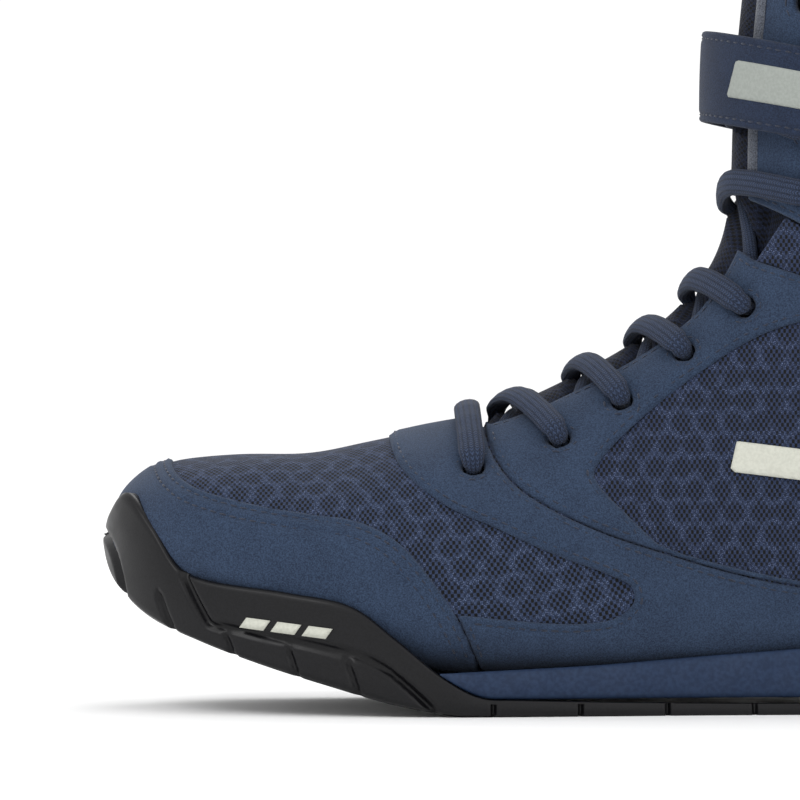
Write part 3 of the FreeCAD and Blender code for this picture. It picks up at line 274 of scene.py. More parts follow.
def clip(skin, f):
    """The part of the grid where f is negative: parameters, depth inside the edge, faces and border edges."""
    nv, nu = f.shape
    inside = f < 0
    right = np.roll(inside, -1, axis=1)
    count = (inside[:-1].astype(int) + right[:-1] + inside[1:] + right[1:])
    full_j, full_i = np.nonzero(count == 4)
    part_j, part_i = np.nonzero((count > 0) & (count < 4))
    number = -np.ones(nv * nu, int)
    us, vs, ds = [], [], []
    flat = f.ravel()
    cut = {}
    du, dv = 24.0 / skin.nu, skin.v[1] - skin.v[0]

    def corner(k):
        if number[k] < 0:
            number[k] = len(us)
            j, i = divmod(k, nu)
            us.append(i * du)
            vs.append(skin.v[0] + j * dv)
            ds.append(-flat[k])
        return number[k]

    def between(k0, k1):
        key = (min(k0, k1), max(k0, k1))
        if key not in cut:
            k0, k1 = key
            t = float(np.clip(flat[k0] / (flat[k0] - flat[k1]), 0.02, 0.98))
            j0, i0 = divmod(k0, nu)
            j1, i1 = divmod(k1, nu)
            if abs(i1 - i0) > nu / 2:
                i0, i1 = (i0 + nu, i1) if i0 < i1 else (i0, i1 + nu)
            cut[key] = len(us)
            us.append((i0 + (i1 - i0) * t) * du % 24.0)
            vs.append(skin.v[0] + (j0 + (j1 - j0) * t) * dv)
            ds.append(0.0)
        return cut[key]

    faces = []
    for j, i in zip(full_j.tolist(), full_i.tolist()):
        a, b = j * nu + i, j * nu + (i + 1) % nu
        faces.append((corner(a), corner(b), corner(b + nu), corner(a + nu)))
    for j, i in zip(part_j.tolist(), part_i.tolist()):
        a, b = j * nu + i, j * nu + (i + 1) % nu
        for tri in ((a, b, b + nu), (a, b + nu, a + nu)):
            poly = []
            for k0, k1 in zip(tri, tri[1:] + tri[:1]):
                if flat[k0] < 0:
                    poly.append(corner(k0))
                if (flat[k0] < 0) != (flat[k1] < 0):
                    poly.append(between(k0, k1))
            if len(poly) >= 3:
                faces.append(tuple(poly))
    edges = {}
    for face in faces:
        for a, b in zip(face, face[1:] + face[:1]):
            if (b, a) in edges:
                del edges[(b, a)]
            else:
                edges[(a, b)] = True
    return np.array(us), np.array(vs), np.array(ds), faces, list(edges)


def isolines(skin, f, level):
    """Chains of (u, v) where f equals level, so far apart that each chain is one seam line."""
    nv, nu = f.shape
    g = f - level
    sign = g < 0
    right = np.roll(sign, -1, axis=1)
    count = sign[:-1].astype(int) + right[:-1] + sign[1:] + right[1:]
    js, iss = np.nonzero((count > 0) & (count < 4))
    flat = g.ravel()
    du, dv = 24.0 / skin.nu, skin.v[1] - skin.v[0]
    links = {}
    for j, i in zip(js.tolist(), iss.tolist()):
        a, b = j * nu + i, j * nu + (i + 1) % nu
        for tri in ((a, b, b + nu), (a, b + nu, a + nu)):
            keys = [(min(p, q), max(p, q)) for p, q in zip(tri, tri[1:] + tri[:1]) if (flat[p] < 0) != (flat[q] < 0)]
            if len(keys) == 2:
                links.setdefault(keys[0], []).append(keys[1])
                links.setdefault(keys[1], []).append(keys[0])

    def place(key):
        k0, k1 = key
        t = flat[k0] / (flat[k0] - flat[k1])
        j0, i0 = divmod(k0, nu)
        j1, i1 = divmod(k1, nu)
        if abs(i1 - i0) > nu / 2:
            i0, i1 = (i0 + nu, i1) if i0 < i1 else (i0, i1 + nu)
        return ((i0 + (i1 - i0) * t) * du, skin.v[0] + (j0 + (j1 - j0) * t) * dv)

    seen, chains = set(), []
    ends = [k for k, n in links.items() if len(n) == 1] + list(links)
    for start in ends:
        if start in seen:
            continue
        chain, key = [start], start
        seen.add(start)
        while True:
            ahead = [k for k in links[key] if k not in seen]
            if not ahead:
                break
            key = ahead[0]
            seen.add(key)
            chain.append(key)
        if len(chain) > 8:
            chains.append(np.array([place(k) for k in chain]))
    return chains


# ------------------------------------------------------------------ meshes
def make(name, verts, faces, uv=None, materials=(), index=None, sharp=False):
    """A mesh object from points in millimetres."""
    mesh = bpy.data.meshes.new(name)
    mesh.from_pydata((np.asarray(verts) * MM).tolist(), [], faces)
    for m in materials:
        mesh.materials.append(m)
    if index is not None:
        mesh.polygons.foreach_set("material_index", np.asarray(index, np.int32))
    mesh.polygons.foreach_set("use_smooth", np.full(len(mesh.polygons), not sharp))
    if uv is not None:
        layer = mesh.uv_layers.new(name="mm")
        loops = np.empty(len(mesh.loops), np.int32)
        mesh.loops.foreach_get("vertex_index", loops)
        layer.data.foreach_set("uv", np.asarray(uv, np.float32)[loops].ravel())
    mesh.validate()
    mesh.update()
    obj = bpy.data.objects.new(name, mesh)
    bpy.context.scene.collection.objects.link(obj)
    return obj


class Pile:
    """Collects points and faces that end up in one mesh."""

    def __init__(self):
        self.verts, self.uv, self.faces, self.index, self.size = [], [], [], [], 0

    def add(self, verts, faces, uv=None, material=0):
        verts = np.asarray(verts, float)
        uv = np.zeros((len(verts), 2)) if uv is None else np.asarray(uv, float)
        self.faces += [tuple(k + self.size for k in face) for face in faces]
        self.index += [material] * len(faces)
        self.verts.append(verts)
        self.uv.append(uv)
        self.size += len(verts)

    def build(self, name, *materials):
        return make(name, np.vstack(self.verts), self.faces, np.vstack(self.uv), materials, self.index)


def oriented(faces, verts, normals):
    """Faces turned so that they face along the given vertex normals."""
    out = []
    total = 0.0
    for face in faces[:: max(1, len(faces) // 200)]:
        a, b, c = verts[face[0]], verts[face[1]], verts[face[2]]
        total += float(np.dot(np.cross(b - a, c - a), normals[face[0]]))
    return faces if total >= 0 else [tuple(reversed(face)) for face in faces]


def rolled(d, high, edge=1.1, drop=1.25):
    """Height of a soft cut edge: rounded over a short distance from the border."""
    t = np.clip(d / edge, 0, 1)
    return high - drop + drop * np.sqrt(1 - (1 - t) ** 2)


def valleys(d, rows, depth=0.5, width=0.6):
    return -sum(depth * np.exp(-((d - row) / width) ** 2) for row in rows) if rows else 0.0


def panel(pile, skin, f, top, bottom, uv_mode="side", material=0):
    """Adds the closed solid of one panel: top(d, points) and bottom are heights over the skin."""
    u, v, d, faces, border = clip(skin, f)
    base, n = skin.sample(u, v)
    high = top(d, base)
    low = np.full(len(d), float(bottom)) if np.isscalar(bottom) else bottom(d, base)
    upper = base + n * high[:, None]
    lower = base + n * low[:, None]
    faces = oriented(faces, upper, n)
    if uv_mode == "side":
        uv = np.stack([base[:, 0], base[:, 2]], 1)
    else:
        arc = grid_lookup(skin, skin.arc, u, v)
        along = np.interp(v, skin.v, skin.along)
        uv = np.stack([along, arc], 1)
    m = len(upper)
    edges = {}
    for face in faces:
        for a, b in zip(face, face[1:] + face[:1]):
            if (b, a) in edges:
                del edges[(b, a)]
            else:
                edges[(a, b)] = True
    walls = [(b, a, a + m, b + m) for a, b in edges]
    under = [tuple(k + m for k in reversed(face)) for face in faces]
    pile.add(np.vstack([upper, lower]), list(faces) + under + walls, np.vstack([uv, uv]), material)


CAP_RINGS = [(-1.0, 0.35), (-0.72, 0.86), (0.0, 1.0), (0.72, 0.86), (1.0, 0.35)]


def stitches(pile, skin, chains, height, pitch=3.1, length=2.3, radius=0.3, material=1, tilt=0.0, keep=None):
    """Adds a row of thread stitches along each chain."""
    for chain in chains:
        pts, nor = skin.sample(chain[:, 0], chain[:, 1], height)
        for _ in range(3):
            pts[1:-1] = (pts[:-2] + 2 * pts[1:-1] + pts[2:]) / 4
        s = np.concatenate([[0], np.cumsum(np.linalg.norm(np.diff(pts, axis=0), axis=1))])
        if s[-1] < pitch * 3:
            continue
        at = np.arange(pitch / 2, s[-1] - pitch / 2, pitch)
        c = np.stack([np.interp(at, s, pts[:, k]) for k in range(3)], 1)
        n = np.stack([np.interp(at, s, nor[:, k]) for k in range(3)], 1)
        n /= np.linalg.norm(n, axis=1)[:, None]
        e = np.stack([np.interp(at + 0.5, s, pts[:, k]) - np.interp(at - 0.5, s, pts[:, k]) for k in range(3)], 1)
        e /= np.maximum(np.linalg.norm(e, axis=1), 1e-9)[:, None]
        b = np.cross(n, e)
        if tilt:
            e = e * math.cos(tilt) + b * math.sin(tilt)
            b = np.cross(n, e)
        if keep is not None:
            good = keep(c)
            c, n, e, b = c[good], n[good], e[good], b[good]
        if not len(c):
            continue
        rings = []
        for along, r in CAP_RINGS:
            for k in range(6):
                a = math.pi * k / 3
                sag = -0.22 * along * along
                rings.append(c + e * (along * length / 2) + b * (r * radius * math.cos(a))
                             + n * (r * radius * math.sin(a) + sag))
        verts = np.stack(rings, 1).reshape(-1, 3)
        one = [(r * 6 + k, r * 6 + (k + 1) % 6, (r + 1) * 6 + (k + 1) % 6, (r + 1) * 6 + k)
               for r in range(4) for k in range(6)]
        one += [tuple(range(5, -1, -1)), tuple(range(24, 30))]
        faces = [tuple(q + 30 * i for q in face) for i in range(len(c)) for face in one]
        pile.add(verts, faces, None, material)


def tube(pile, path, normals, width, thick, sides=10, material=0, caps=True, squareness=2.0):
    """A cord of oval section along a path; its flat side faces the given normals."""
    path = np.asarray(path, float)
    t = np.gradient(path, axis=0)
    t /= np.maximum(np.linalg.norm(t, axis=1), 1e-9)[:, None]
    n = normals - (normals * t).sum(axis=1)[:, None] * t
    n /= np.maximum(np.linalg.norm(n, axis=1), 1e-9)[:, None]
    b = np.cross(t, n)
    a = np.arange(sides) * 2 * math.pi / sides
    width = np.broadcast_to(np.asarray(width, float), (len(path),))
    thick = np.broadcast_to(np.asarray(thick, float), (len(path),))
    k = (np.abs(np.cos(a)) ** squareness + np.abs(np.sin(a)) ** squareness) ** (-1 / squareness)
    ca, sa = np.cos(a) * k, np.sin(a) * k
    verts = (path[:, None] + b[:, None] * (ca[None, :, None] * width[:, None, None] / 2)
             + n[:, None] * (sa[None, :, None] * thick[:, None, None] / 2)).reshape(-1, 3)
    s = np.concatenate([[0], np.cumsum(np.linalg.norm(np.diff(path, axis=0), axis=1))])
    uv = np.stack([np.repeat(s, sides), np.tile(np.arange(sides) / sides, len(path))], 1)
    faces = [(i * sides + j, i * sides + (j + 1) % sides, (i + 1) * sides + (j + 1) % sides, (i + 1) * sides + j)
             for i in range(len(path) - 1) for j in range(sides)]
    if caps:
        faces += [tuple(range(sides - 1, -1, -1)), tuple(range((len(path) - 1) * sides, len(path) * sides))]
    pile.add(verts, faces, uv, material)
    return s[-1]


# ------------------------------------------------------------------ finishes
def rgb(*levels):
    """A linear colour from screen levels out of 255."""
    linear = [c / 3294.6 if c <= 10.3 else ((c / 255 + 0.055) / 1.055) ** 2.4 for c in levels]
    return (*linear, 1.0)


class Finish:
    """A small builder for procedural materials; lengths in its textures are in millimetres."""

    def __init__(self, name, colour, rough=0.8, sheen=0.0):
        self.material = bpy.data.materials.new(name)
        self.material.use_nodes = True
        self.tree = self.material.node_tree
        self.shader = self.tree.nodes["Principled BSDF"]
        self.set(self.shader, {"Base Color": colour, "Roughness": rough, "Sheen Weight": sheen,
                               "Sheen Roughness": 0.6, "Specular IOR Level": 0.25})

    def set(self, node, values):
        for key, value in values.items():
            if isinstance(value, bpy.types.NodeSocket):
                self.tree.links.new(value, node.inputs[key])
            else:
                node.inputs[key].default_value = value

    def node(self, kind, values=None, **settings):
        node = self.tree.nodes.new("ShaderNode" + kind)
        for key, value in settings.items():
            setattr(node, key, value)
        self.set(node, values or {})
        return node

    def coordinates(self, flat=False):
        """Millimetres over the surface if flat, or else through the solid."""
        texture = self.node("TexCoord")
        if flat:
            return texture.outputs["UV"]
        return self.node("VectorMath", {0: texture.outputs["Object"], 1: (1000, 1000, 1000)},
                         operation="MULTIPLY").outputs[0]

    def math(self, kind, a, b=0.0):
        return self.node("Math", {0: a, 1: b}, operation=kind).outputs[0]

    def noise(self, at, scale, detail=2.0):
        return self.node("TexNoise", {"Vector": at, "Scale": scale, "Detail": detail}).outputs["Fac"]

    def ramp(self, value, low, high, bottom=0.0, top=1.0):
        return self.node("MapRange", {0: value, 1: low, 2: high, 3: bottom, 4: top},
                         interpolation_type="SMOOTHSTEP").outputs[0]

    def mix(self, share, a, b):
        return self.node("Mix", {0: share, 6: a, 7: b}, data_type="RGBA").outputs[2]

    def finish(self, colour=None, height=None, depth=0.1, rough=None):
        """Connects colour, a height map with its depth in millimetres, and roughness."""
        if colour is not None:
            self.set(self.shader, {"Base Color": colour})
        if rough is not None:
            self.set(self.shader, {"Roughness": rough})
        if height is not None:
            bump = self.node("Bump", {"Height": height, "Distance": depth * MM, "Strength": 1.0})
            self.set(self.shader, {"Normal": bump.outputs[0]})
        return self.material


def suede(name, dark, light, flat=False):
    """Brushed microfibre: a fine nap with faint cloudy wear."""
    f = Finish(name, light, 0.9, 0.06)
    at = f.coordinates(flat)
    nap = f.noise(at, 2.6, 4.0)
    cloud = f.noise(at, 0.09, 3.0)
    share = f.math("ADD", f.ramp(nap, 0.32, 0.68, 0.0, 0.9), f.ramp(cloud, 0.3, 0.7, -0.04, 0.12))
    return f.finish(f.mix(share, dark, light), nap, 0.16)


def spacer_mesh(name, dark, thread, glint, cell=7.4, flat=True):
    """Knitted mesh: diagonal rows of small holes, filled in along the walls of large six-sided cells. The threads carry
    painted glints, more of them on the cell walls, and the holes are painted near-black: the dark backing deepened by
    painted shade.
    """
    f = Finish(name, thread, 0.8, 0.03)
    at = f.coordinates(flat)
    split = f.node("SeparateXYZ", {0: at})
    x, y = split.outputs[0], split.outputs[1]
    wave_x = f.math("SINE", f.math("MULTIPLY", x, 2 * math.pi / 1.5))
    wave_y = f.math("SINE", f.math("MULTIPLY", y, 2 * math.pi / 2.3))
    # the holes are painted near-black: the dark backing seen through them, deepened as painted shade
    hole = f.ramp(f.math("MULTIPLY", wave_x, wave_y), -0.12, 0.26)
    cells = []
    for shift in (0.0, 0.5):
        moved = f.node("VectorMath", {0: at, 1: (shift * cell, shift * cell * 1.7, 0)}, operation="ADD").outputs[0]
        local = f.node("VectorMath", {0: moved, 1: (cell, cell * 1.7, 1.0), 2: (0, 0, 0)}, operation="WRAP").outputs[0]
        middle = f.node("VectorMath", {0: local, 1: (cell / 2, cell * 0.85, 0)}, operation="SUBTRACT").outputs[0]
        part = f.node("SeparateXYZ", {0: f.node("VectorMath", {0: middle}, operation="ABSOLUTE").outputs[0]})
        slant = f.math("ADD", f.math("MULTIPLY", part.outputs[0], 0.5), f.math("MULTIPLY", part.outputs[1], 0.866))
        cells.append(f.math("MAXIMUM", part.outputs[0], slant))
    edge = f.math("DIVIDE", f.math("MINIMUM", *cells), cell / 2)
    wall = f.math("MULTIPLY", f.ramp(edge, 0.5, 0.95), f.ramp(f.noise(at, 0.28, 1.0), 0.3, 0.56))
    open_part = f.math("MULTIPLY", hole, f.math("SUBTRACT", 1.0, f.math("MULTIPLY", wall, 0.55)))
    # painted highlight: bright specks of the glint colour on the threads, more of them on the cell walls
    painted_glint = f.ramp(f.noise(at, 3.4, 2.0), 0.5, 0.72)
    base = f.mix(f.math("MULTIPLY", painted_glint, f.math("ADD", 0.25, f.math("MULTIPLY", wall, 0.75))), thread, glint)
    return f.finish(f.mix(open_part, base, dark), f.math("SUBTRACT", 1.0, open_part), 0.3)


def braid(name, dark, light):
    """A round braid: its texture runs along the cord, and its grooves between strands are darkened as painted shade."""
    f = Finish(name, light, 0.85, 0.06)
    at = f.coordinates(True)
    split = f.node("SeparateXYZ", {0: at})
    along, around = split.outputs[0], f.math("MULTIPLY", split.outputs[1], 14.0)
    rows = f.math("PINGPONG", around, 0.5)
    slope = f.math("ADD", f.math("MULTIPLY", along, 1.25), f.math("MULTIPLY", rows, 1.6))
    weave = f.ramp(f.math("PINGPONG", slope, 0.5), 0.05, 0.42)
    ridge = f.math("MULTIPLY", weave, f.ramp(rows, 0.02, 0.3))
    fluff = f.noise(f.coordinates(), 3.0, 3.0)
    # painted shade: the dark colour sits in the grooves between strands, the light colour on the strand crowns
    share = f.math("ADD", f.math("MULTIPLY", ridge, 0.75), f.ramp(fluff, 0.35, 0.7, -0.1, 0.4))
    return f.finish(f.mix(share, dark, light), f.math("ADD", ridge, f.math("MULTIPLY", fluff, 0.4)), 0.2)


def plain(name, dark, light, rough, scale=1.5, depth=0.03, sheen=0.0, flat=False):
    """A moulded, printed or woven surface with a fine grain."""
    f = Finish(name, light, rough, sheen)
    at = f.coordinates(flat)
    grain = f.noise(at, scale, 3.0)
    rough_map = f.ramp(f.noise(at, 0.12, 2.0), 0.3, 0.7, rough - 0.06, rough + 0.06)
    return f.finish(f.mix(f.ramp(grain, 0.3, 0.7), dark, light), grain, depth, rough_map)


SUEDE = suede("microsuede_navy", rgb(25, 37, 57), rgb(50, 67, 92))
STRAP = suede("strap_microfibre", rgb(17, 26, 44), rgb(35, 48, 72))
# each mesh: hole colour (dark backing plus painted shade), thread colour, glint colour (painted highlight)
MESH = spacer_mesh("hex_mesh_navy", rgb(2, 3, 6), rgb(31, 43, 70), rgb(106, 120, 154))
VAMP = spacer_mesh("vamp_mesh_navy", rgb(2, 3, 7), rgb(36, 49, 76), rgb(112, 127, 160))
TONGUE = spacer_mesh("tongue_mesh_dark", rgb(2, 3, 8), rgb(16, 24, 44), rgb(46, 58, 88), 5.0)
# the thread's colours are darker than the suede it matches: painted shade of the stitch valleys
THREAD = plain("thread_navy_painted_shade", rgb(12, 19, 34), rgb(28, 40, 64), 0.6, 3.0, 0.05, 0.2)
# the lace's dark colour is painted shade in the braid's grooves
LACE = braid("lace_braid_navy", rgb(18, 26, 43), rgb(54, 69, 97))
RUBBER = plain("rubber_black", rgb(8, 8, 11), rgb(17, 17, 20), 0.36, 2.0, 0.02)
FOAM = plain("midsole_navy", rgb(26, 41, 66), rgb(34, 51, 78), 0.6, 0.8, 0.02)
PRINT = plain("print_pale", rgb(188, 189, 178), rgb(198, 199, 188), 0.6, 1.2, 0.01)
BADGE = plain("badge_pale_grey", rgb(142, 147, 142), rgb(150, 155, 150), 0.6, 1.2, 0.01)
LINING = plain("lining_knit_dark", rgb(8, 11, 20), rgb(22, 29, 46), 0.9, 1.6, 0.1, 0.3)
STIFF = plain("stiffener_grey", rgb(120, 120, 116), rgb(150, 150, 146), 0.7)
BOARD = plain("board_off_white", rgb(176, 172, 160), rgb(200, 196, 184), 0.9, 2.0, 0.05)
PIPING = plain("piping_grey_cord", rgb(40, 44, 54), rgb(92, 98, 110), 0.8, 2.4, 0.25, 0.2)
HOOK = plain("hook_tape_black", rgb(8, 9, 12), rgb(26, 28, 34), 0.6, 2.2, 0.3)
LOOP = plain("loop_tape_black", rgb(12, 14, 20), rgb(30, 34, 44), 0.95, 1.6, 0.3, 0.5)
AGLET = plain("aglet_clear_navy", rgb(30, 40, 62), rgb(46, 58, 84), 0.25)

# ------------------------------------------------------------------ panels of the upper
SKIN = Skin(240, 14)
INNER = Skin(144, 7)
X, Y, Z = (SKIN.p[:, :-1, k] for k in range(3))

TOE_SEAM = [(-127.5, 80.0), (-125.6, 69.0), (-120.4, 63.8), (-107.5, 59.6), (-89.6, 56.4), (-71.8, 53.8),
            (-61.0, 48.2), (-50.4, 36.0), (-43.2, 24.5), (-36.5, 8.0)]
BAND_FRONT = [(-64.6, 92.0), (-63.8, 77.0), (-60.3, 68.8), (-48.2, 58.8), (-34.3, 52.6), (-17.9, 45.2),
              (-2.2, 39.3), (4.0, 36.0), (5.0, 32.0), (0.7, 27.6), (-9.0, 25.7), (-25.0, 26.3), (-43.0, 28.2)]
EYESTAY_SEAM = [(-38.6, 92.0), (-35.2, 74.5), (-30.5, 66.8), (-23.6, 60.9), (-5.0, 51.6), (10.7, 46.3),
                (32.0, 39.9), (51.3, 35.9)]
FOOT_COLLAR = [(24.0, 138.0), (40.0, 127.4), (62.0, 120.0), (88.0, 114.3), (112.0, 106.0), (150.0, 94.0)]
SHAFT_HEM = [(20.0, 152.0), (48.0, 140.0), (70.0, 127.0), (88.0, 117.6), (112.0, 117.2), (150.0, 120.0)]
WINDOW = outline([(11.4, 47.9), (2.0, 57.0), (-4.4, 63.6), (-6.2, 67.4), (-4.2, 71.2), (3.6, 79.4), (21.4, 93.8),
                  (42.9, 107.0), (60.0, 111.0), (78.0, 108.6), (84.0, 103.0), (92.0, 84.0), (98.0, 60.0),
                  (99.4, 42.0), (96.0, 37.4), (75.0, 35.6), (51.3, 37.4), (32.0, 41.4), (17.0, 45.6), (11.4, 47.9)])
EYELETS_FOOT = [(-40.0, 68.6), (-15.7, 76.6), (2.1, 87.2), (20.0, 101.0), (37.1, 114.0)]
EYELETS_SHAFT = [(56.0, 146.0), (55.0, 164.0), (55.0, 182.0)]
SPARE_EYELETS = [(53.0, 200.0), (54.0, 217.0)]
COLLAR_Z = 229.0
EYELET_RADIUS = 3.1

SLOT = slot_field(SKIN)
HOLES = {side: np.maximum(hole_field(SKIN, EYELETS_FOOT, side, EYELET_RADIUS),
                          hole_field(SKIN, EYELETS_SHAFT + SPARE_EYELETS, side, EYELET_RADIUS)) for side in (-1, 1)}
BOTH_HOLES = np.maximum(HOLES[-1], HOLES[1])
SIDES = ((-1, "lateral"), (1, "medial"))
FOLDS = [(0.9, (0.21, 0.05, 0.13)), (2.1, (-0.08, 0.17, 0.11)), (4.0, (0.06, -0.12, 0.2))]


def creases(p, amount=0.16):
    """Slight unevenness of a sewn, hand-lasted upper."""
    return amount * sum(np.sin(p @ np.array(k) + phase) for phase, k in FOLDS)


def leather(rows, high=1.5, low_row=None):
    """Top of an overlay: a rolled edge, then a stitched valley along each row."""
    return lambda d, p: rolled(d, high) + valleys(d, rows) + creases(p, 0.09) * np.clip(d / 4, 0, 1)


def piece(name, pile, body, slot, *materials, nodes=None, blend=None):
    """Turns a pile into a piece that stands for its CAD node."""
    obj = pile.build(name + "_look", *materials)
    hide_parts(*(nodes or (name,)))
    if blend is None:
        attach(obj, body)
    else:
        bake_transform(obj)
    return obj


def overlay(name, f, rows=(2.0,), keep=None, body="foot", high=1.5, low=0.15, material=None, slot="suede"):
    """A microsuede panel with thread along its seams."""
    pile = Pile()
    panel(pile, SKIN, f, leather(rows, high), low)
    for row in rows:
        stitches(pile, SKIN, isolines(SKIN, f, -row), high - 0.38, keep=keep)
    return piece(name, pile, body, slot, material or SUEDE, THREAD)


def clear_of_sole(points):
    edge = np.interp(points[:, 0], [-140, -131, -123, -116, -93, -74, -62, -48, 130], [62, 53, 41, 38, 35, 31, 22, 14, 14])
    return points[:, 2] > edge + 1.5


toe_hem = [(-150, 33), (-132, 30), (-118, 26.5), (-100, 21.5), (-79, 16), (-50, 11.6), (-36.5, 8)]
toe = side_field(SKIN, outline([(-150, 80), (-150, 33)], toe_hem, TOE_SEAM[::-1], [(-127.5, 80), (-150, 80)]))
overlay("toe_overlay", toe, (2.0, 4.9), clear_of_sole)

band_loop = outline(BAND_FRONT, [(-43, 28.2), (-44.6, 28)], [(-44.6, 28), (-42.9, 24.5), (-37.6, 12)],
                    [(-37.6, 12), (-4, 12.9), (25, 13.6), (60, 14.6), (106, 16.5)], [(106, 16.5), (104, 34)],
                    [(104, 34), (80, 33.2), (51.3, 35.6), (32, 39.6), (10.7, 46), (-5, 51.3), (-23.8, 60.6),
                     (-30.7, 66.5), (-35.5, 74.3), (-38.9, 92)], [(-38.9, 92), (-64.6, 92)])
band = np.maximum.reduce([side_field(SKIN, band_loop), SLOT, BOTH_HOLES])
overlay("forefoot_band", band, (1.9,), clear_of_sole)

stay_loop = outline(EYESTAY_SEAM, [(51.3, 35.9), (76, 34)], [(76, 34), (101, 36)],
                    [(101, 36), (100.5, 62), (94, 86), (84, 111)], [(84, 111), (62, 119.7), (46.5, 125), (39.8, 127.2)],
                    [(39.8, 127.2), (24, 138)], [(24, 138), (-38.6, 92)])
stay = np.maximum.reduce([side_field(SKIN, stay_loop), -side_field(SKIN, WINDOW), SLOT])
heel_loop = outline([(104.4, 34), (106.4, 16.5)], [(106.4, 16.5), (122, 21), (134, 29), (150, 34)],
                    [(150, 34), (150, 94)], [(150, 94), (112, 105.6), (88, 113.9)], [(88, 113.9), (84.4, 111.2)],
                    [(84.4, 111.2), (94.4, 86.2), (100.9, 62.2), (101.4, 36.2)], [(101.4, 36.2), (104.4, 34)])
overlay("heel_overlay", side_field(SKIN, heel_loop), (2.0, 4.4), clear_of_sole)

quarter = side_field(SKIN, outline([(8.6, 40.3), (6.6, 13.2)], [(6.6, 13.2), (60, 15), (112, 20)],
                                   [(112, 20), (134, 30), (150, 36)], [(150, 36), (150, 94)], FOOT_COLLAR[::-1],
                                   [(24, 138), (-41.4, 92)], [(-41.4, 92), (-40.4, 72.2), (-33.4, 60.2), (8.6, 40.3)]))
shaft = side_field(SKIN, outline(SHAFT_HEM, [(150, 120), (150, COLLAR_Z)], [(150, COLLAR_Z), (20, COLLAR_Z)],
                                 [(20, COLLAR_Z), (20, 152)]))
piping = np.maximum.reduce([slot_field(SKIN, 0.2), -slot_field(SKIN, 3.4), 150.0 - Z, Z - 228.6, X - 56.0])


def mesh_top(d, p):
    return creases(p, 0.14) - 0.0 * d


for side, name in SIDES:
    half = -side * Y + 0.15
    overlay(f"eyestay_{name}", np.maximum.reduce([stay, HOLES[side], half]), (1.9,), clear_of_sole)
    pile = Pile()
    panel(pile, SKIN, np.maximum.reduce([quarter, SLOT, HOLES[side], half]), mesh_top, -1.5)
    piece(f"quarter_mesh_{name}", pile, "foot", "mesh", MESH)
    overlay(f"shaft_panel_{name}", np.maximum.reduce([shaft, SLOT, HOLES[side], half]), (2.2,), None, "shaft", 1.5, -1.5)
    pile = Pile()
    panel(pile, SKIN, np.maximum(piping, half), lambda d, p: rolled(d, 2.3, 1.6, 0.9), 1.6)
    piece(f"shaft_piping_{name}", pile, "shaft", "piping", PIPING)

vamp_hem = [(-132, 36), (-118, 30), (-100, 24), (-79, 18.2), (-56, 13.8), (-30, 12.2)]
vamp = side_field(SKIN, outline([(-150, 85), (-150, 41.5)], [(-150, 41.5), (-139, 41.5)], [(-139, 41.5), (-132, 36)],
                                vamp_hem, [(-30, 12.2), (6, 13)], [(6, 13), (8, 40)],
                                [(8, 40), (-34, 60), (-41, 72), (-42, 92)], [(-42, 92), (-150, 85)]))
pile = Pile()
panel(pile, SKIN, np.maximum(vamp, BOTH_HOLES), mesh_top, -1.5, "along")
piece("vamp_mesh", pile, "foot", "mesh", VAMP)

gusset = side_field(SKIN, outline(FOOT_COLLAR[1:], [(150, 94), (150, 119.5)],
                                  [(x, z - 0.5) for x, z in SHAFT_HEM[:0:-1]], [(48, 139.5), (40, 127.4)]))
gusset = np.maximum(gusset, slot_field(SKIN, 2.0, 52.0))
for part, limit, start, end in (("front", X - 88.3, (0.060, 0, 0.112), (0.072, 0, 0.136)),
                                ("rear", 87.7 - X, (0.115, 0, 0.100), (0.115, 0, 0.119))):
    pile = Pile()
    panel(pile, SKIN, np.maximum(gusset, limit), lambda d, p: -0.1 + creases(p, 0.2), -1.5)
    obj = pile.build(f"ankle_gusset_{part}_look", MESH)
    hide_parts("ankle_gusset")
    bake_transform(obj)

backstay = np.maximum.reduce([np.abs(Y) - 9.0, 122.0 - Z, Z - 228.5, 100.0 - X])
overlay("backstay", backstay, (1.6,), None, "shaft", 2.7, 1.55)

# ------------------------------------------------------------------ linings and stiffeners
IX, IY, IZ = (INNER.p[:, :-1, k] for k in range(3))


def inner_piece(name, loop, high, low, body, slot, material, side=0, blend=None, extra=None, tag=""):
    """A hidden or inner layer; side is -1 or 1 for one half of it."""
    f = side_field(INNER, outline(*loop))
    if side:
        f = np.maximum(f, -side * IY + 0.15)
    if extra is not None:
        f = np.maximum(f, extra)
    pile = Pile()
    panel(pile, INNER, f, lambda d, p: np.full(len(d), high), low)
    return piece(name, pile, body, slot, material, nodes=(name,), blend=blend)


inner_piece("toe_puff", ([(-150, 85), (-150, 43)], [(-150, 43), (-132, 43)], [(-132, 43), (-118, 35.5), (-104, 30.2)],
                         [(-104, 30.2), (-104, 48)], [(-104, 48), (-108, 62), (-114, 85)], [(-114, 85), (-150, 85)]),
            -1.65, -2.7, "foot", "stiffener", STIFF)
inner_piece("heel_counter", ([(100, 22.2), (112, 24.2), (134, 33.5), (150, 38.5)], [(150, 38.5), (150, 84)],
                             [(150, 84), (120, 80), (98, 52)], [(98, 52), (100, 22.2)]),
            -1.65, -2.7, "foot", "stiffener", STIFF)
inner_piece("vamp_lining", ([(-150, 92), (-150, 43)], [(-150, 43), (-132, 43)],
                            [(-132, 43), (-118, 35.5), (-100, 28.8), (-79, 22.8), (-56, 18.2), (-46.3, 17.2)],
                            [(-46.3, 17.2), (-46.3, 92)], [(-46.3, 92), (-150, 92)]),
            -2.85, -4.8, "foot", "lining", LINING)
FRONT = [(-46, 58), (-38, 61), (-14, 67.5), (4, 78), (22, 91), (43, 104)]
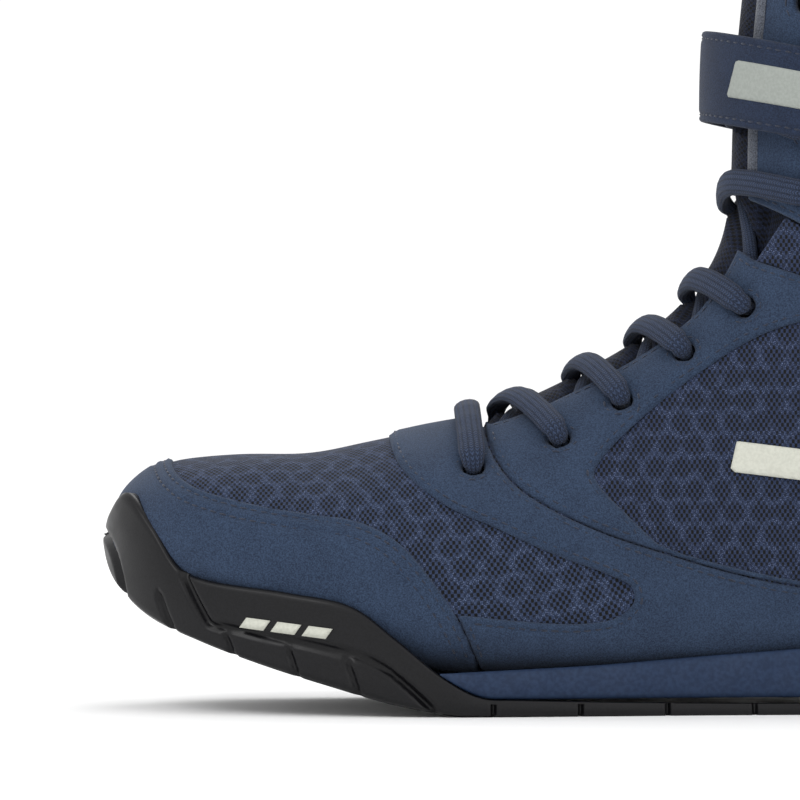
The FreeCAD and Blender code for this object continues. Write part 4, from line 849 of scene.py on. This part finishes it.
for side, name in SIDES:
    inner_piece(f"quarter_lining_{name}",
                ([(-46, 58), (-46, 17.2)], [(-46, 17.2), (6, 16.8), (60, 19.2), (112, 23.6)],
                 [(112, 23.6), (134, 33), (150, 38)], [(150, 38), (150, 94)], FOOT_COLLAR[:1:-1],
                 [(62, 120), (47, 122)], [(47, 122), (43, 104)], FRONT[::-1]),
                -2.85, -4.8, "foot", "lining", LINING, side)
    inner_piece(f"shaft_lining_{name}",
                ([(65, 131), (70, 127.2), (88, 117.8), (112, 117.3), (150, 120)], [(150, 120), (150, COLLAR_Z)],
                 [(150, COLLAR_Z), (64, COLLAR_Z)], [(64, COLLAR_Z), (65, 131)]),
                -1.65, -4.8, "shaft", "lining", LINING, side)
for part, limit, start, end in (("front", IX - 88.3, (0.060, 0, 0.112), (0.072, 0, 0.136)),
                                ("rear", 87.7 - IX, (0.115, 0, 0.100), (0.115, 0, 0.119))):
    f = side_field(INNER, outline(FOOT_COLLAR[2:], [(150, 94), (150, 119.5)],
                                  [(x, z - 0.5) for x, z in SHAFT_HEM[:1:-1]], [(70, 126.5), (62, 120)]))
    pile = Pile()
    panel(pile, INNER, np.maximum(f, limit), lambda d, p: np.full(len(d), -2.85), -4.8)
    obj = pile.build(f"gusset_lining_{part}_look", LINING)
    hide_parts("gusset_lining")
    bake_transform(obj)

# ------------------------------------------------------------------ lace
LACE_OVER, LACE_UNDER = 3.9, -3.9
LACE_TAIL = [(56.5, 186.0), (58.5, 193.0), (59.0, 200.0), (59.0, 205.0)]


def lifted(u, v, height):
    return SKIN.sample(np.array([u]), np.array([v]), np.array([height]))[0][0]


def crossing(places, number, side, upper):
    """Corner points of one run from an eyelet to the next one up on the other side."""
    u0, v0 = SKIN.find(*places[number], side)
    u1, v1 = SKIN.find(*places[number + 1], -side)
    if side < 0:
        u1 -= 24
    else:
        u0 -= 24
    early = 0.025 if number == 4 else 0.0
    if upper:
        middle = [(0.27, LACE_UNDER, 4.0), (0.375, 2.2, 4.0), (0.5, 3.0, 9.0), (0.62, 3.9, 9.0)]
    else:
        middle = [(0.25, LACE_UNDER, 9.0), (0.38, -3.2, 9.0), (0.5, -2.0, 9.0), (0.6 - early, -1.4, 4.0)]
    rows = [(0.0, LACE_UNDER, 3.1), (0.12, LACE_UNDER, 9.0), *middle, (0.705 - early, LACE_OVER, 4.0),
            (0.88, LACE_OVER, 9.0), (1.0, LACE_OVER, 3.1)]
    out = [rows[0]]
    for a, b in zip(rows, rows[1:]):
        out += [((a[0] + b[0]) / 2, (a[1] + b[1]) / 2, 9.0), b]
    return [(lifted(u0 + (u1 - u0) * t, v0 + (v1 - v0) * t, h), r) for t, h, r in out]


def lace_corners():
    places = EYELETS_FOOT + EYELETS_SHAFT
    strands = []
    for start in (-1, 1):
        side, points = start, []
        for number in range(len(places) - 1):
            points += crossing(places, number, side, (start > 0) == (number % 2 == 0))
            side = -side
        tail = [SKIN.find(x, z, side) for x, z in [places[-1]] + LACE_TAIL]
        points += [(lifted(a, b, LACE_UNDER), 3.1 if k == 0 else 9.0) for k, (a, b) in enumerate(tail)]
        strands.append(points)
    u, v = SKIN.find(*places[0], -1)
    bar = [(lifted(u - 2 * u * t, v, LACE_OVER), 3.1 if t in (0, 1) else 9.0)
           for t in (0.0, 0.12, 0.24, 0.36, 0.5, 0.64, 0.76, 0.88, 1.0)]
    return strands[0][::-1] + bar + strands[1]


def rounded(corners, step=0.8):
    """Evenly spaced points along a path with rounded corners."""
    points = [corners[0][0]]
    for (before, _), (corner, radius), (after, _) in zip(corners, corners[1:], corners[2:]):
        a, b = before - corner, after - corner
        la, lb = np.linalg.norm(a), np.linalg.norm(b)
        angle = math.acos(float(np.clip(a @ b / la / lb, -1, 1)))
        if angle > math.pi - 0.02:
            points.append(corner)
            continue
        reach = min(radius / math.tan(angle / 2), 0.49 * la, 0.49 * lb)
        p, q = corner + a / la * reach, corner + b / lb * reach
        for s in np.linspace(0, 1, 7):
            points.append((1 - s) ** 2 * p + 2 * s * (1 - s) * corner + s * s * q)
    points.append(corners[-1][0])
    points = np.array(points)
    s = np.concatenate([[0], np.cumsum(np.linalg.norm(np.diff(points, axis=0), axis=1))])
    keep = np.concatenate([[True], np.diff(s) > 1e-6])
    even = np.linspace(0, s[-1], int(s[-1] / step))
    return np.stack([np.interp(even, s[keep], points[keep, k]) for k in range(3)], 1)


path = rounded(lace_corners())
for _ in range(2):
    path[1:-1] = (path[:-2] + 2 * path[1:-1] + path[2:]) / 4
tree = KDTree(len(X.ravel()))
flat_p, flat_n = SKIN.p[:, :-1].reshape(-1, 3), SKIN.n[:, :-1].reshape(-1, 3)
for k, q in enumerate(flat_p):
    tree.insert(q, k)
tree.balance()
facing = np.array([flat_n[tree.find(Vector(q))[1]] for q in path])
for _ in range(6):
    facing[1:-1] = (facing[:-2] + 2 * facing[1:-1] + facing[2:]) / 4
height = np.array([(q - flat_p[tree.find(Vector(q))[1]]) @ n for q, n in zip(path, facing)])
turn = np.linalg.norm(path[4:] - path[:-4], axis=1) / (4 * 0.8)
straight = np.clip((np.concatenate([turn[:1], turn[:1], turn, turn[-1:], turn[-1:]]) - 0.72) / 0.25, 0, 1)
above = np.clip((height - 0.5) / 2.5, 0, 1)
width = 4.6 + 2.9 * straight * above
thick = 3.7 + 0.6 * above
lift = facing * (0.35 * above)[:, None]
pile = Pile()
lace_length = tube(pile, path + lift, facing, width, thick, 16)
piece("lace", pile, "foot", "lace", LACE, blend=("shaft", (0.037, 0, 0.114), (0.056, 0, 0.146)))
print("lace length", round(float(lace_length), 1))

# ------------------------------------------------------------------ tongue
def tongue_swell():
    """Extra height of the tongue at each grid point of the skin."""
    extra = np.zeros(len(flat_p))
    cord = KDTree(len(path))
    for k, q in enumerate(path):
        cord.insert(q, k)
    cord.balance()
    half = np.interp(flat_p[:, 0], [q[0] for q in THROAT], [q[1] for q in THROAT])
    for k in np.nonzero((np.abs(flat_p[:, 1]) < half) & (flat_p[:, 0] < 49) & (flat_p[:, 2] > 60))[0]:
        p, n = flat_p[k], flat_n[k]
        t = 1 - (abs(p[1]) / half[k]) ** 2
        front = np.clip((p[0] + 44.0) / 12.0, 0, 1)
        h = -7.3 + 8.3 * max(t, 0) ** 0.5 * front
        for q, _, _ in cord.find_range(Vector(p - n * 1.5), 10.5):
            w = np.array(q) - p
            hq = w @ n
            rho = np.linalg.norm(w - hq * n)
            limit = hq - math.sqrt(2.5 ** 2 - rho ** 2) if rho < 2.5 else hq + (rho - 2.5) * 1.5
            h = min(h, limit)
        extra[k] = max(h, -7.3) + 7.3
    return extra


tongue = side_field(SKIN, outline([(-54, 140), (-54, 60.9)], [(-54, 60.9), (-20, 68), (14, 88), (40, 118)],
                                  [(40, 118), (56, 150), (60.9, 235.8)], [(60.9, 235.8), (20, 235.8)],
                                  [(20, 235.8), (-54, 140)]))
tongue = np.maximum(tongue, np.abs(Y) - 30.0)
swell = tongue_swell()


def tongue_top(d, p):
    """Padding that swells up through the throat wherever no lace holds it down."""
    return rolled(d, -7.3, 5.0, 2.2) + np.array([swell[tree.find(Vector(q))[1]] for q in p])


pile = Pile()
panel(pile, SKIN, tongue, tongue_top, lambda d, p: -11.0 + 1.2 * np.exp(-d / 3), "along")
obj = piece("tongue", pile, "foot", "mesh", TONGUE, blend=("shaft", (0.030, 0, 0.112), (0.050, 0, 0.146)))
tip = side_field(SKIN, outline([(61.2, 236.2), (61.6, 246), (58.5, 250)], [(58.5, 250), (20, 250)],
                               [(20, 250), (20, 236.2)], [(20, 236.2), (61.2, 236.2)]))
pile = Pile()
panel(pile, SKIN, np.maximum(tip, np.abs(Y) - 30.0), lambda d, p: rolled(d, -7.3, 4.0, 2.0), -11.0, "along")
obj = piece("tongue_tip", pile, "tongue_end", "mesh", SUEDE)
label = np.maximum.reduce([np.abs(Y) - 12.0, 238.5 - Z, Z - 247.0, X - 80.0])
pile = Pile()
panel(pile, SKIN, label, lambda d, p: rolled(d, -6.5, 0.8, 0.4), -7.2, "along")
piece("tongue_label", pile, "tongue_end", "print", BADGE)

# ------------------------------------------------------------------ strap
BOW = Skin(240, 14, 5.6, 13.0)
BX, BY, BZ = (BOW.p[:, :-1, k] for k in range(3))
STRAP_AT, STRAP_TILT, STRAP_HALF = (24.0, 181.0), math.radians(12.0), 12.5


def strap_loop(first, last, half, rise=0.0, corner=0.6):
    """A tilted rectangle in the side view with small rounded corners."""
    r, out = corner, []
    for cx, cz, start in ((last - r, half - r, 0), (first + r, half - r, 90), (first + r, r - half, 180),
                          (last - r, r - half, 270)):
        for step in range(7):
            a = math.radians(start + 15 * step)
            run, up = cx + r * math.cos(a) - STRAP_AT[0], cz + r * math.sin(a) + rise
            out.append((STRAP_AT[0] + run * math.cos(STRAP_TILT) + up * math.sin(STRAP_TILT),
                        STRAP_AT[1] - run * math.sin(STRAP_TILT) + up * math.cos(STRAP_TILT)))
    return np.array(out)


def bowed(name, f, high, low, body, slot, *materials, rows=(), edge=1.2, drop=0.9, nodes=None):
    pile = Pile()
    panel(pile, BOW, f, lambda d, p: rolled(d, high, edge, drop) + valleys(d, rows), low)
    for row in rows:
        stitches(pile, BOW, isolines(BOW, f, -row), high - 0.38)
    return piece(name, pile, body, slot, *materials)


lateral = side_field(BOW, strap_loop(0.0, 99.0, STRAP_HALF, corner=5.0))
medial = side_field(BOW, strap_loop(0.0, 69.7, STRAP_HALF))
bowed("ankle_strap", np.where(BY < 0, lateral, medial), 6.3, 4.1, "strap", "strap", STRAP, THREAD, rows=(2.1,))
bowed("strap_anchor", np.maximum(side_field(BOW, strap_loop(70.3, 100.0, STRAP_HALF)), -BY), 6.3, 1.0, "shaft",
      "strap", STRAP, THREAD, rows=(2.1,))
pad = (72.0, 96.0, STRAP_HALF - 2.0)
bowed("hook_pad", np.maximum(side_field(BOW, strap_loop(*pad, corner=2.0)), BY), 4.05, 2.95, "strap", "hook", HOOK,
      edge=0.4, drop=0.2)
pile = Pile()
panel(pile, SKIN, np.maximum(side_field(SKIN, strap_loop(*pad, corner=2.0)), Y), lambda d, p: rolled(d, 2.6, 0.5, 0.3), 1.6)
piece("loop_pad", pile, "shaft", "loop", LOOP)
bowed("strap_badge", np.maximum(side_field(BOW, strap_loop(38.0, 88.0, 5.2, 0.5)), BY), 6.75, 6.2, "strap", "print",
      BADGE, edge=0.5, drop=0.3)

# ------------------------------------------------------------------ decoration
bar = np.array([(76.0, 71.46), (34.0, 76.5), (32.0, 68.0), (74.0, 62.96)])
pile = Pile()
panel(pile, SKIN, np.maximum(side_field(SKIN, bar), Y), lambda d, p: rolled(d, 0.95, 0.6, 0.4), 0.05)
piece("quarter_emblem", pile, "foot", "print", PRINT)

# ------------------------------------------------------------------ sole unit
PLAN = [(-145.5, 9.0), (-141.0, -12.0), (-128.0, -29.0), (-110.0, -40.0), (-85.0, -48.4), (-56.0, -52.4),
        (-30.0, -50.6), (0.0, -45.4), (40.0, -39.5), (80.0, -38.2), (115.0, -36.4), (136.0, -25.0),
        (144.5, 0.0), (136.0, 25.0), (115.0, 35.6), (80.0, 36.8), (40.0, 36.4), (0.0, 41.5),
        (-30.0, 47.8), (-56.0, 51.2), (-85.0, 50.8), (-110.0, 46.4), (-128.0, 39.0), (-141.0, 28.0)]
UNDER = [(-145.3, 49), (-144.6, 42), (-141, 34), (-132.5, 26.7), (-118, 20.4), (-100, 14), (-79, 7.7), (-62, 3),
         (-44, 0), (-40, 0), (126, 0), (137, 2.2), (144.4, 7.4)]
WALL_TOP = [(-145.3, 49), (-143.4, 56), (-139.5, 61.5), (-131.4, 52.5), (-123, 40.3), (-116, 37.6), (-93, 34.4),
            (-74.5, 30.6), (-62, 21.6), (-48, 10.4), (-38, 5.2), (-28, 4.5), (96, 4.5), (112, 9), (124, 19),
            (134, 28.5), (144.4, 32.6)]
FEATHER = [(-50, 11.9), (-37, 12.5), (-4, 14.1), (25, 16.3), (51, 18.2), (90, 21.5), (118, 24.2), (134, 29.4)]
SIDEWALL_GROOVES = [
    ([(-121.8, 38.8), (-119.6, 34.5), (-116, 28.1), (-114, 25.2), (-107.5, 24.1), (-93.2, 21.3), (-78.9, 18.4),
      (-71.8, 16.6), (-64.6, 13.1), (-57.5, 7.4), (-51, 1.3)], 1.0, 2.1),
    ([(-145, 50), (-143, 47), (-141, 42), (-138.9, 31.6)], 0.9, 1.9),
    ([(-128.5, 32.8), (-124.8, 22.7)], 0.8, 1.7), ([(-109.6, 21.6), (-107.1, 15)], 0.8, 1.7),
    ([(-91.8, 18), (-88.9, 9)], 0.8, 1.7), ([(-75.3, 14.9), (-71.6, 4)], 0.8, 1.7)]
TREAD = [-34.5 + 24.5 * n for n in range(7)]


def half_plans():
    """Sideways reach of the sole at each place along it, on the lateral and on the medial side."""
    p = np.array(PLAN)
    p = np.vstack([p[-3:], p, p[:3]])
    k = np.arange(len(p), dtype=float)
    at = np.linspace(3, 3 + len(PLAN), 3000)
    w = spline_matrix(len(p), at)
    curve = w @ p
    front, back = np.argmin(curve[:, 0]), np.argmax(curve[:, 0])
    first, last = sorted((front, back))
    a = curve[first:last + 1]
    b = np.vstack([curve[last:], curve[:first + 1]])
    if a[:, 1].mean() > b[:, 1].mean():
        a, b = b, a
    return [q[np.argsort(q[:, 0])] for q in (a, b)]


LATERAL_PLAN, MEDIAL_PLAN = half_plans()
LEFT, RIGHT = LATERAL_PLAN[0, 0], LATERAL_PLAN[-1, 0]


def curve_at(points, x):
    p = smooth(points, 0.5)
    order = np.argsort(p[:, 0])
    return np.interp(x, p[order, 0], p[order, 1])


def groove_depth(x, z):
    depth = np.zeros(x.shape)
    for line, width, deep in SIDEWALL_GROOVES:
        p = smooth(line, 1.5)
        best = np.full(x.shape, 99.0)
        for a, b in zip(p, p[1:]):
            e = b - a
            t = np.clip(((x - a[0]) * e[0] + (z - a[1]) * e[1]) / (e @ e), 0, 1)
            best = np.minimum(best, np.hypot(x - a[0] - t * e[0], z - a[1] - t * e[1]))
        depth = np.maximum(depth, deep * np.clip(1.35 - best / width, 0, 1))
    for at in TREAD:
        across = np.clip(1.5 - np.abs(x - at) / 0.62, 0, 1)
        depth = np.maximum(depth, 1.8 * across * (z < 3.2))
    return depth


def sole_layer(pile, xs, low, high, inset, rows, grooved, lip=5.0, floor=4.2, crown=0.5):
    """A closed layer of the sole: side walls with soft edges, a tread and a lip that meets the upper."""
    n = len(xs)
    t = np.linspace(0, 1, rows)
    shape = [(0.0, -1.3), (0.03, -0.45)] + [(s, 0.0) for s in t[1:-1]] + [(0.975, -0.35), (1.0, -1.1)]
    rings = []
    for side, plan in ((-1, LATERAL_PLAN), (1, MEDIAL_PLAN)):
        y = np.interp(xs, plan[:, 0], plan[:, 1])
        tangent = np.stack([np.gradient(xs), np.gradient(y)], 1)
        tangent /= np.linalg.norm(tangent, axis=1)[:, None]
        out = np.stack([-tangent[:, 1], tangent[:, 0]], 1) * side
        loops = []
        for share, pull in shape:
            z = low + (high - low) * share
            tall = np.clip((high - low) / 6.0, 0.05, 1)
            bulge = crown * np.sin(np.pi * share) * tall + pull * tall - inset
            if grooved:
                bulge = bulge - groove_depth(xs, z)
            loops.append(np.stack([xs + out[:, 0] * bulge, y + out[:, 1] * bulge, z], 1))
        reach = np.minimum(lip, np.abs(y - 4.5) * 0.8)
        inner = np.stack([xs - out[:, 0] * reach * 0.7, y - out[:, 1] * reach, high - 0.25], 1)
        down = inner.copy()
        down[:, 2] = np.minimum(high - 0.5, low + floor)
        loops += [inner, down]
        rings.append(loops)
    across = 13
    bottom = [rings[0][0] + (rings[1][0] - rings[0][0]) * s for s in np.linspace(0, 1, across)]
    if grooved:
        for row in bottom[1:-1]:
            near = np.min(np.abs(row[:, 0][:, None] - np.array(TREAD)[None]), axis=1)
            row[:, 2] += 2.2 * np.clip(1.5 - near / 0.62, 0, 1) * (row[:, 2] < 1.0)
    top = [rings[0][-1] + (rings[1][-1] - rings[0][-1]) * s for s in np.linspace(0, 1, 3)]
    sheets = [rings[0][::-1], bottom, rings[1], top[::-1]]
    strips = rings[0][::-1] + bottom[1:-1] + rings[1] + top[::-1][1:-1]
    m = len(strips)
    verts = np.vstack(strips)
    faces = []
    for a in range(m):
        b = (a + 1) % m
        faces += [(a * n + i, a * n + i + 1, b * n + i + 1, b * n + i) for i in range(n - 1)]
    faces.append(tuple(a * n for a in range(m)))
    faces.append(tuple(a * n + n - 1 for a in reversed(range(m))))
    del sheets
    pile.add(verts, faces, verts[:, [0, 2]])


def outward_faces(obj):
    """Turns every face of a closed piece outwards."""
    bm = bmesh.new()
    bm.from_mesh(obj.data)
    bmesh.ops.recalc_face_normals(bm, faces=bm.faces)
    bm.to_mesh(obj.data)
    bm.free()


def along(first, last, count, extra=()):
    """Places along the boot, closer together at both ends and at the grooves."""
    xs = first + (last - first) * (1 - np.cos(np.pi * np.arange(count) / (count - 1))) / 2
    more = [g + d for g in extra for d in (-0.95, -0.6, -0.3, 0.0, 0.3, 0.6, 0.95)]
    return np.unique(np.round(np.concatenate([xs, more]), 3))


xs = along(LEFT + 0.02, RIGHT - 0.02, 460, TREAD)
pile = Pile()
sole_layer(pile, xs, curve_at(UNDER, xs), np.maximum(curve_at(WALL_TOP, xs), curve_at(UNDER, xs) + 0.4), 0.0, 20, True)
obj = piece("outsole", pile, "foot", "rubber", RUBBER)
outward_faces(obj)
xs = along(-49.5, 134.0, 150)
base = np.maximum(curve_at(WALL_TOP, xs), 4.5) + 0.1
pile = Pile()
sole_layer(pile, xs, base, np.maximum(curve_at(FEATHER, xs), base + 0.3), 0.5, 9, False, floor=3.0, crown=0.9)
obj = piece("midsole", pile, "foot", "foam", FOAM)
outward_faces(obj)


def wall_point(x, z, out=0.0):
    y = np.interp(x, LATERAL_PLAN[:, 0], LATERAL_PLAN[:, 1])
    slope = np.interp(x + 0.5, LATERAL_PLAN[:, 0], LATERAL_PLAN[:, 1]) - y
    n = np.array([2 * slope, -1.0, 0.0])
    n /= np.linalg.norm(n)
    return np.array([x, y, z]) + n * out


def wall_bar(pile, x0, x1, z0, height, fall, slant=2.0):
    """A thin raised bar on the lateral side wall."""
    steps = max(3, int(x1 - x0))
    verts, faces = [], []
    for i in range(steps + 1):
        s = i / steps
        x, z = x0 + (x1 - x0) * s, z0 - fall * (x1 - x0) * s
        for up, out in ((0, 0.0), (0, 0.75), (height, 0.75), (height, 0.0)):
            verts.append(wall_point(x + slant * up / max(height, 1e-6), z + up, out + 0.35))
    for i in range(steps):
        for k in range(4):
            faces.append((4 * i + k, 4 * i + (k + 1) % 4, 4 * i + 4 + (k + 1) % 4, 4 * i + 4 + k))
    faces += [(3, 2, 1, 0), tuple(4 * steps + k for k in range(4))]
    pile.add(np.array(verts), faces)


pile = Pile()
for n in range(3):
    wall_bar(pile, -105.4 + 8.7 * n, -98.8 + 8.7 * n, 24.5 - 1.04 * n, 2.8, 0.12)
obj = piece("sidewall_badge", pile, "foot", "print", PRINT)
outward_faces(obj)

# ------------------------------------------------------------------ collar, pull tab and insole
rows = (SKIN.v > 20.5) & (SKIN.v < 22.6)
us, vs = [], []
for k in range(SKIN.nu):
    us.append(k * 24.0 / SKIN.nu)
    vs.append(float(np.interp(230.9, Z[rows, k], SKIN.v[rows])))
ring, ring_n = SKIN.sample(us, vs, -1.6)
open_front = (np.abs(ring[:, 1]) > 17.2) | (ring[:, 0] > 60)
order = np.nonzero(open_front)[0]
ring, ring_n = ring[order], ring_n[order]
fade = np.minimum(np.arange(len(ring)), np.arange(len(ring))[::-1])
swell = np.sqrt(np.clip(1 - (1 - np.clip((fade + 0.6) / 4.0, 0, 1)) ** 2, 0.02, 1))
pile = Pile()
tube(pile, ring, ring_n, 6.4 * swell, 8.0 * swell, 18, squareness=2.3)
obj = piece("collar_binding", pile, "shaft", "suede", SUEDE)


def webbing(name, loop, half, body, material, bevel=0.5):
    """A side-view outline swept across the boot, with eased edges."""
    m = len(loop)
    verts = [(x, y, z) for y in (-half, half) for x, z in loop]
    faces = [(k, (k + 1) % m, m + (k + 1) % m, m + k) for k in range(m)]
    faces += [tuple(reversed(range(m))), tuple(range(m, 2 * m))]
    obj = make(name + "_look", np.array(verts, float), faces, [(v[1], v[2]) for v in verts], (material,))
    outward_faces(obj)
    ease = obj.modifiers.new("ease", "BEVEL")
    ease.width = bevel * MM
    ease.segments = 3
    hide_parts(name)
    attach(obj, body)
    return obj


webbing("pull_tab", [(142.4, 214), (145, 214), (147.4, 238.6), (147.0, 240.2), (146.0, 240.9), (145.2, 240.2),
                     (144.8, 238.6)], 8.5, "tab", STRAP)


def eased_copy(name, body, material, bevel):
    """A copy of the CAD piece's own shape with a new material; its sharp rim is not rounded."""
    obj = bpy.data.objects.new(name + "_look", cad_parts[name].data.copy())
    bpy.context.scene.collection.objects.link(obj)
    obj.data.materials.clear()
    obj.data.materials.append(material)
    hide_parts(name)
    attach(obj, body)
    return obj


eased_copy("sockliner", "insole", LINING, 0.8)
for name, material in (("strobel_board", BOARD), ("aglet_lateral", AGLET), ("aglet_medial", AGLET)):
    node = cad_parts[name]
    node.data.materials.clear()
    node.data.materials.append(material)

# ------------------------------------------------------------------ floor, light and camera
FLOOR = plain("floor_pale", rgb(253, 253, 253), rgb(255, 255, 255), 0.95)
bpy.ops.mesh.primitive_plane_add(size=12.0, location=(0, 0, -0.0003))
floor = bpy.context.object
floor.name = "floor"
floor.data.materials.append(FLOOR)
world = bpy.data.worlds.new("studio")
bpy.context.scene.world = world
world.use_nodes = True
world.node_tree.nodes["Background"].inputs[0].default_value = (1.0, 1.0, 1.0, 1.0)
world.node_tree.nodes["Background"].inputs[1].default_value = 1.06


def softbox(name, place, aim, size, power):
    data = bpy.data.lights.new(name, "AREA")
    data.shape = "DISK"
    data.size = size
    data.energy = power
    lamp = bpy.data.objects.new(name, data)
    lamp.location = place
    lamp.rotation_euler = (Vector(aim) - Vector(place)).to_track_quat("-Z", "Y").to_euler()
    bpy.context.scene.collection.objects.link(lamp)
    return lamp


softbox("key", (-0.9, -1.2, 1.5), (-0.05, 0, 0.08), 0.9, 9)
softbox("fill", (1.1, -1.4, 0.7), (0, 0, 0.1), 1.0, 2)
softbox("rim", (0.3, 1.3, 1.4), (0, 0, 0.1), 0.8, 5)

AIM = Vector((-0.0607, 0.0, 0.0874))
DISTANCE, ELEVATION = 2.4, math.radians(1.2)
camera_data = bpy.data.cameras.new("camera")
camera_data.sensor_width = 36.0
camera_data.lens = 36.0 * (DISTANCE - 0.045) / 0.224
camera = bpy.data.objects.new("camera", camera_data)
camera.location = AIM + Vector((0, -math.cos(ELEVATION), math.sin(ELEVATION))) * DISTANCE
camera.rotation_euler = (AIM - camera.location).to_track_quat("-Z", "Y").to_euler()
bpy.context.scene.collection.objects.link(camera)
bpy.context.scene.camera = camera
bpy.context.scene.view_settings.view_transform = "Standard"
